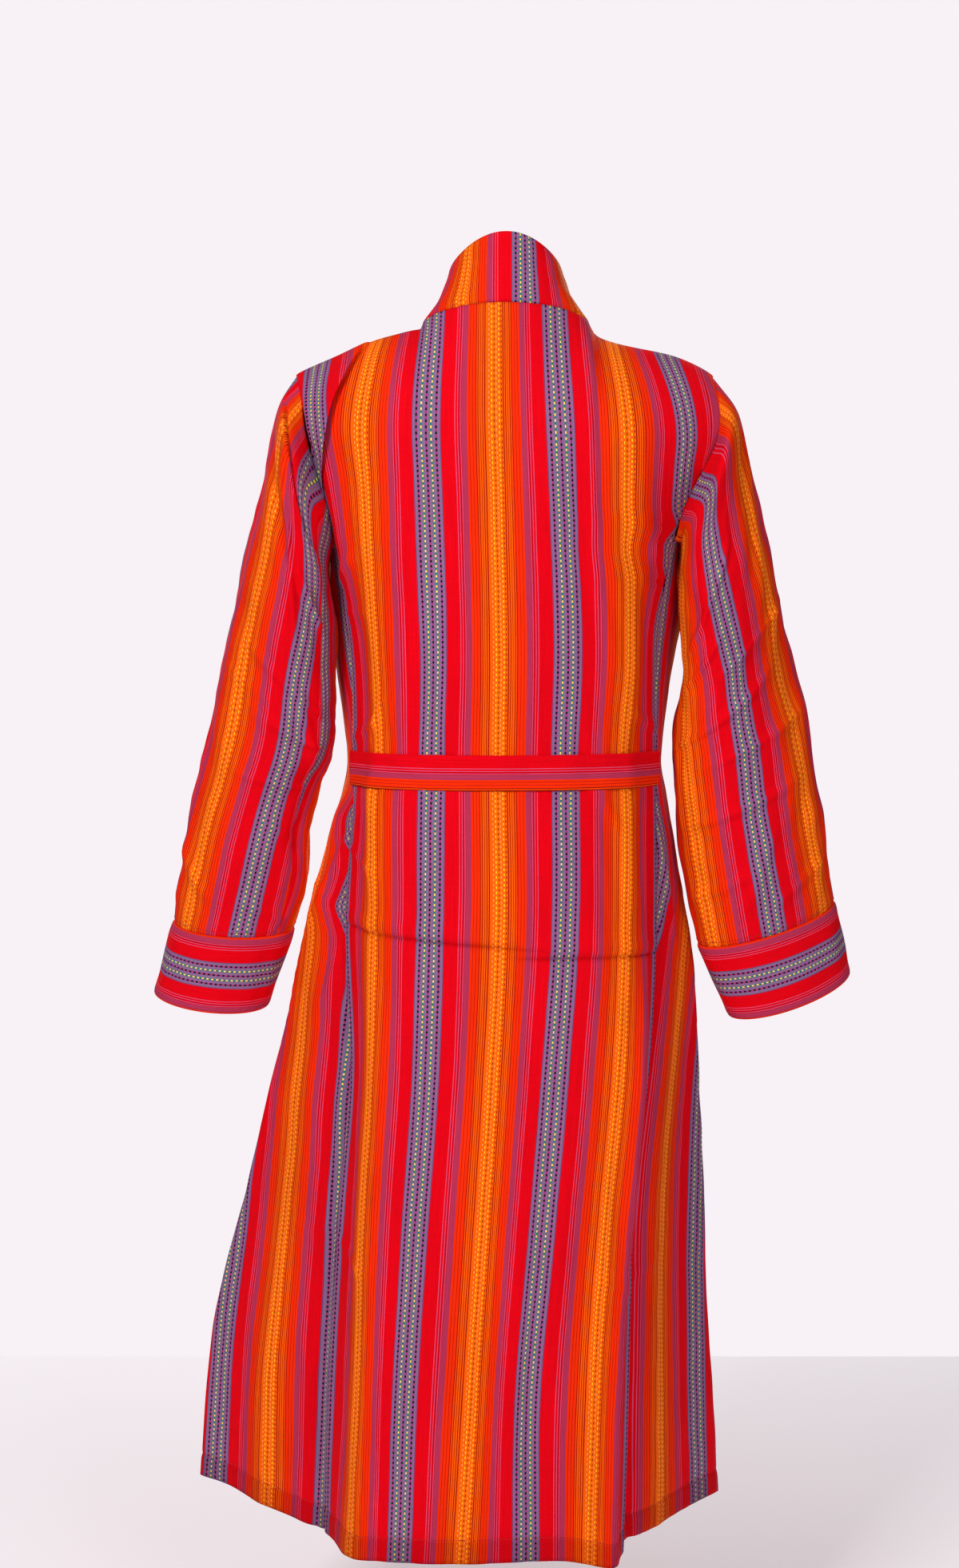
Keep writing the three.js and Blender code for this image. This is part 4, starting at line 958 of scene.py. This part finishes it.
for side, word in ((1, "left"), (-1, "right")):
    points, weave, seam, centre = cuff_sheet(side)
    cuff = sew_piece("cuff_cloth_" + word, points[:-1], weave, layers=2, closed=True, seam=seam[:-1],
                     axis=centre[:-1])
    cuff.data.materials.append(BODY_CLOTH)
    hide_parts("cuff_" + word)

# ---- the collar band -------------------------------------------------------------------------------
# One long double band, cut across the cloth, sewn round the neck and down both front edges. Behind the
# neck it stands up and leans in; over the chest it turns flat and crosses, left over right.
BAND_WIDTH = 72
# The standing band's top edge: half width, y at the sides, how far it reaches behind them, and its height
# behind the neck and at the sides. Its face is hollow by a little.
COLLAR_HALF_WIDTH, COLLAR_TOP_Y, COLLAR_TOP_DEPTH = 56, -10, 60
COLLAR_CENTRE_Z, COLLAR_SIDE_Z = 91, 64
COLLAR_HOLLOW = 5
# Places of the band's free edge on the left while it turns flat, and the length v at which it lies flat.
COLLAR_TURN = ([0, 45, 90], [(55, -10, 64), (36, -58, 22), (12, -92, -44)])
COLLAR_FLAT_V = 130
# Where the orange stripe crosses the standing band, from the centre back, and how far round the neck the
# stripes keep upright.
COLLAR_ORANGE, COLLAR_UPRIGHT = 46, 100
COLLAR_FORM = {"swell": 0.6, "seam": (2.4, 1.8), "fold": (0.5, 1.2), "slack": 14}
# The band stands from this height of its seam up, fully a reach further on.
COLLAR_STANDING = (-60, 60)
BAND_COLUMNS, FRONT_STATIONS, NECK_STATIONS = 18, 130, 60
# The column whose length stands for the whole band's, and the step by which the band's lean is taken.
LENGTH_COLUMN, LEAN_STEP = 3, 8


def band_station(side, v):
    """Seam point and free edge of the band where it lies along a front edge."""
    seam = front_row(side, [1.0], v)[0][0]
    if v < COLLAR_FLAT_V:
        flat = band_station(side, COLLAR_FLAT_V)[1] * [side, 1, 1]
        free = along(COLLAR_TURN[0] + [COLLAR_FLAT_V], COLLAR_TURN[1] + [tuple(flat)], v) * [side, 1, 1]
        return seam, free
    ahead = front_row(side, [1.0], v + LEAN_STEP)[0][0]
    lean = math.atan2(side * (seam[0] - ahead[0]), seam[2] - ahead[2])
    x = seam[0] - side * BAND_WIDTH * math.cos(lean)
    side_of_x = 1 if x > along(*CENTRE_FRONT, v) else -1
    return seam, np.array([x, front_depth(side_of_x, side, x, v), seam[2] + BAND_WIDTH * math.sin(lean)])


def neck_station(angle):
    """The standing band, angle +90 degrees at the left side-neck point and -90 at the right one."""
    turn = math.sin(angle)
    seam = shoulder_points(np.array([(NECK_HALF_WIDTH - 0.01) * turn]))[0]
    free = np.array([COLLAR_HALF_WIDTH * turn, COLLAR_TOP_Y + COLLAR_TOP_DEPTH * math.cos(angle),
                     mix(COLLAR_CENTRE_Z, COLLAR_SIDE_Z, turn**2)])
    return seam, free


def collar_sheet():
    """The band's grid from the left hem over the neck to the right one, with its weave coordinates."""
    lengths = BODY_LENGTH * (np.arange(1, FRONT_STATIONS + 1) / FRONT_STATIONS) ** 1.1
    left = [band_station(1, v) for v in lengths[::-1]]
    neck = [neck_station(math.pi * (0.5 - k / NECK_STATIONS)) for k in range(NECK_STATIONS + 1)]
    right = [band_station(-1, v) for v in lengths]
    pairs = np.array(left + neck + right)
    seam, free = pairs[:, 0], pairs[:, 1]
    share = np.linspace(0, 1, BAND_COLUMNS + 1)[None, :, None]
    points = mix(seam[:, None], free[:, None], share)
    standing = rising(seam[:, 2], *COLLAR_STANDING)[:, None, None]
    inward = -points * [1, 1, 0]
    inward = inward / np.linalg.norm(inward, axis=-1, keepdims=True)
    points = points + inward * COLLAR_HOLLOW * standing * np.sin(math.pi * share)
    # Lengths along the band from the centre back: one line's for the whole band, and each line's own
    # behind the neck.
    centre_back = len(left) + NECK_STATIONS // 2
    lengths = run_along(points)
    own = lengths[centre_back] - lengths
    shared = np.broadcast_to(own[:, LENGTH_COLUMN, None], own.shape)
    q = mix(shared, own, np.exp(-(shared / COLLAR_UPRIGHT) ** 2))
    across = BAND_WIDTH * np.broadcast_to(share[0, :, 0], q.shape)
    edges = np.minimum(across, BAND_WIDTH - across)
    normals, _ = outward_normals(points, False, points * [0, 0, 1])
    uneven = slack(q, across, seed=41, across=70, down=60, height=0.7)
    height = band_height(COLLAR_FORM, across, BAND_WIDTH, uneven)
    return points + normals * height[..., None], np.stack([q - COLLAR_ORANGE, across], axis=-1), edges + 1


points, weave, seam = collar_sheet()
collar = sew_piece("collar_band", points, weave, layers=2, seam=seam)
collar.data.materials.append(BODY_CLOTH)
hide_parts("collar")

# ---- the half belt ---------------------------------------------------------------------------------
# A folded strip with its stripes lengthwise, laid over the back at the waist and caught in both side
# seams, so that it draws the back in. It stands a little proud of the panel.
BELT_TOP, BELT_HEIGHT, BELT_SAG, BELT_PROUD = 431, 35, 3, 1.9
# Half its length between the side seams, half the width over which it sags, and the stripes' place at its
# top edge.
BELT_HALF_LENGTH, BELT_SAG_REACH = 193.5, 195
BELT_TOP_PLACE = 50.4
BELT_EDGE_SINK, BELT_EDGE_REACH = 0.7, 1.2
BELT_COLUMNS, BELT_STEPS = 150, 14


def belt_sheet():
    """The belt's grid: points on the back's own form, weave coordinates, and distance to its edges."""
    share = np.linspace(0, 1, BELT_STEPS + 1)
    u = np.linspace(-BELT_HALF_LENGTH, BELT_HALF_LENGTH, BELT_COLUMNS + 1)
    grid_u, grid_t = np.meshgrid(u, share, indexing="ij")
    v = BELT_TOP + BELT_HEIGHT * grid_t + BELT_SAG * (1 - (grid_u / BELT_SAG_REACH) ** 2)
    points = np.empty(v.shape + (3,))
    for i, place in enumerate(u):
        for j in range(BELT_STEPS + 1):
            points[i, j] = back_row([place], v[i, j])[0]
    points[..., 2] = -v
    normals, _ = outward_normals(points, False, points * [0, 0, 1])
    down = BELT_HEIGHT * grid_t
    edges = np.minimum(down, BELT_HEIGHT - down)
    height = BELT_PROUD - BELT_EDGE_SINK * np.exp(-edges / BELT_EDGE_REACH)
    height += slack(grid_u, down, seed=51, across=60, down=40, height=0.35)
    height += slack(grid_u, 0, seed=52, across=45, down=40, height=0.5)
    weave = np.stack([BELT_TOP_PLACE - down, grid_u], axis=-1)
    return points + normals * height[..., None], weave, edges + 2


points, weave, seam = belt_sheet()
belt = sew_piece("half_belt", points, weave, layers=2, seam=seam)
belt.data.materials.append(BODY_CLOTH)
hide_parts("belt")

# ---- the stitching ---------------------------------------------------------------------------------
# Machine lockstitch in matt red thread: one row holds the turned hem, one more lies just above each cuff.
# Each stitch is a short tight length of thread whose ends dip into the cloth.
STITCH_PITCH, STITCH_LENGTH, STITCH_RADIUS = 3.4, 2.7, 0.32
CUFF_ROW_ABOVE = 5
thread_red = bpy.data.materials.new("matt red thread")
thread_red.use_nodes = True
thread_red.node_tree.nodes["Principled BSDF"].inputs["Base Color"].default_value = linear((150, 6, 16))
thread_red.node_tree.nodes["Principled BSDF"].inputs["Roughness"].default_value = 0.7
# Shares of a stitch's half length, with the thread's radius and height there in thread radii.
STITCH_FORM = [(-1, 0.3, -1.6), (-0.7, 1, 0.2), (0, 1, 0.5), (0.7, 1, 0.2), (1, 0.3, -1.6)]
STITCH_SIDES = 6


def sew_row(name, path, normals):
    """A row of stitches along a path of points on the cloth's outer face."""
    run = run_along(path)
    centres = (np.arange(int(run[-1] / STITCH_PITCH)) + 0.5) * STITCH_PITCH
    vertices, faces = [], []
    around = np.linspace(0, 2 * math.pi, STITCH_SIDES + 1)[:-1]
    for centre in centres:
        base = len(vertices)
        ends = centre + np.array([-0.5, 0.5]) * STITCH_LENGTH
        start, end = (np.array([np.interp(at, run, path[:, k]) for k in range(3)]) for at in ends)
        up = np.array([np.interp(centre, run, normals[:, k]) for k in range(3)])
        beside = np.cross(end - start, up)
        beside, up = beside / np.linalg.norm(beside), up / np.linalg.norm(up)
        for place, radius, height in STITCH_FORM:
            middle = mix(start, end, (place + 1) / 2) + up * (CLOTH_THICKNESS / 2 + height * STITCH_RADIUS)
            for angle in around:
                turned = beside * math.cos(angle) + up * math.sin(angle)
                vertices.append(middle + turned * radius * STITCH_RADIUS)
        for ring in range(len(STITCH_FORM) - 1):
            for k in range(STITCH_SIDES):
                a, b = base + ring * STITCH_SIDES + k, base + ring * STITCH_SIDES + (k + 1) % STITCH_SIDES
                faces.append([a, b, b + STITCH_SIDES, a + STITCH_SIDES])
        faces.append([base + k for k in range(STITCH_SIDES)][::-1])
        faces.append([base + (len(STITCH_FORM) - 1) * STITCH_SIDES + k for k in range(STITCH_SIDES)])
    mesh = bpy.data.meshes.new(name)
    mesh.from_pydata((np.array(vertices) / 1000).tolist(), [], faces)
    mesh.polygons.foreach_set("use_smooth", [True] * len(mesh.polygons))
    mesh.materials.append(thread_red)
    row = bpy.data.objects.new(name, mesh)
    bpy.context.scene.collection.objects.link(row)
    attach(row, "root")


def sew_across(name, points, lengths, at, closed, axis):
    """Stitches across a piece's grid, where its length down the cloth is at."""
    normals, _ = outward_normals(points, closed, axis)
    j = min(int(np.searchsorted(lengths, at)), len(lengths) - 1)
    t = (at - lengths[j - 1]) / (lengths[j] - lengths[j - 1])
    path = mix(points[:, j - 1], points[:, j], t)
    sew_row(name, path, normals[:, j])


sew_across("hem_stitches_back", back_points, back_v[0], HEM_LINE, False, back_points * [0, 0, 1])
for side, word in ((1, "left"), (-1, "right")):
    points, lengths = FRONT_GRIDS[side]
    sew_across("hem_stitches_front_" + word, points, lengths, HEM_LINE, False, points * [0, 0, 1])
    points, lengths, centre = SLEEVE_GRIDS[side]
    sew_across("cuff_stitches_" + word, points, lengths, lengths[-1] - CUFF_ROW_ABOVE, True, centre)

# ---- the sleeves once more -------------------------------------------------------------------------
# Every piece is a sheet of the one cloth, cut round the body or the arm and then down it, or across a strip
# and then along it; the cuffs, the collar band and the belt are folded double in the making. The loop below
# only looks up each sleeve in turn and does nothing more with it.
for side in (1, -1):
    sleeve = SLEEVES[side]

# ---- floor, light and camera -----------------------------------------------------------------------
# A pale matt floor under the robe's height on a stand, even soft studio light from the camera's side,
# and a level camera behind the robe.
FLOOR_Z, FLOOR_BACK, FLOOR_REACH = -1.42, -1.3, 2.8
floor_mesh = bpy.data.meshes.new("studio_floor")
floor_corners = [(-FLOOR_REACH, FLOOR_BACK, FLOOR_Z), (FLOOR_REACH, FLOOR_BACK, FLOOR_Z),
                 (FLOOR_REACH, FLOOR_REACH, FLOOR_Z), (-FLOOR_REACH, FLOOR_REACH, FLOOR_Z)]
floor_mesh.from_pydata(floor_corners, [], [[0, 1, 2, 3]])
floor = bpy.data.objects.new("studio_floor", floor_mesh)
bpy.context.scene.collection.objects.link(floor)
floor_paint = bpy.data.materials.new("pale studio floor")
floor_paint.use_nodes = True
paint = floor_paint.node_tree.nodes["Principled BSDF"]
paint.inputs["Base Color"].default_value = (0.91, 0.865, 0.895, 1)
paint.inputs["Roughness"].default_value = 0.9
floor_mesh.materials.append(floor_paint)

world = bpy.data.worlds.new("studio")
world.use_nodes = True
background = world.node_tree.nodes["Background"]
background.inputs[0].default_value = (0.94, 0.88, 0.92, 1)
# The backdrop itself is bright, and what it throws on the cloth is less, so that the folds keep their
# depth: its strength by itself, and what is added where the camera sees it.
BACKDROP_LIGHT, BACKDROP_SEEN = 0.18, 0.82
seen = world.node_tree.nodes.new("ShaderNodeLightPath").outputs["Is Camera Ray"]
level = node_maths(world.node_tree)("MULTIPLY_ADD", seen, BACKDROP_SEEN, BACKDROP_LIGHT)
world.node_tree.links.new(level, background.inputs[1])
bpy.context.scene.world = world
# Softboxes: place, what they face, width, height, power in watts.
SOFTBOXES = [
    ((1.5, 2.6, 1.1), (0, 0, -0.6), 0.8, 0.9, 73),
    ((-1.2, 2.9, 0.1), (0, 0, -0.6), 1.1, 1.4, 33),
    ((0.2, 0.5, 2.2), (0, 0, -0.4), 1.4, 1.0, 13),
    ((-0.9, -3.0, 0.7), (0, 0, -0.55), 1.1, 1.4, 53),
    ((1.5, -2.4, 0.1), (0, 0, -0.55), 1.1, 1.4, 21),
]
for k, (place, target, width, height, power) in enumerate(SOFTBOXES):
    light = bpy.data.lights.new("softbox_%d" % (k + 1), "AREA")
    light.shape, light.size, light.size_y, light.energy = "RECTANGLE", width, height, power
    box = bpy.data.objects.new(light.name, light)
    box.location = place
    direction = np.array(target, float) - np.array(place, float)
    box.rotation_euler = (math.acos(-direction[2] / np.linalg.norm(direction)), 0,
                          math.atan2(direction[1], direction[0]) - math.pi / 2)
    bpy.context.scene.collection.objects.link(box)

# The camera stands level, so the lens is shifted to bring the horizon to its row of the frame.
IMAGE_WIDTH, FOCAL_PIXELS, HORIZON_ROW, MIDDLE_ROW = 1200, 2929, 870, 981
FILM_WIDTH = 36
CAMERA_PLACE = (0.027, 2.4, -0.375)
lens = bpy.data.cameras.new("camera")
lens.sensor_fit = "HORIZONTAL"
lens.sensor_width = FILM_WIDTH
lens.lens = FILM_WIDTH * FOCAL_PIXELS / IMAGE_WIDTH
lens.shift_y = -(MIDDLE_ROW - HORIZON_ROW) / IMAGE_WIDTH
camera = bpy.data.objects.new("camera", lens)
camera.location = CAMERA_PLACE
camera.rotation_euler = (math.pi / 2, 0, math.pi)
bpy.context.scene.collection.objects.link(camera)
bpy.context.scene.camera = camera
bpy.context.scene.view_settings.view_transform = "Standard"

bpy.context.view_layer.update()
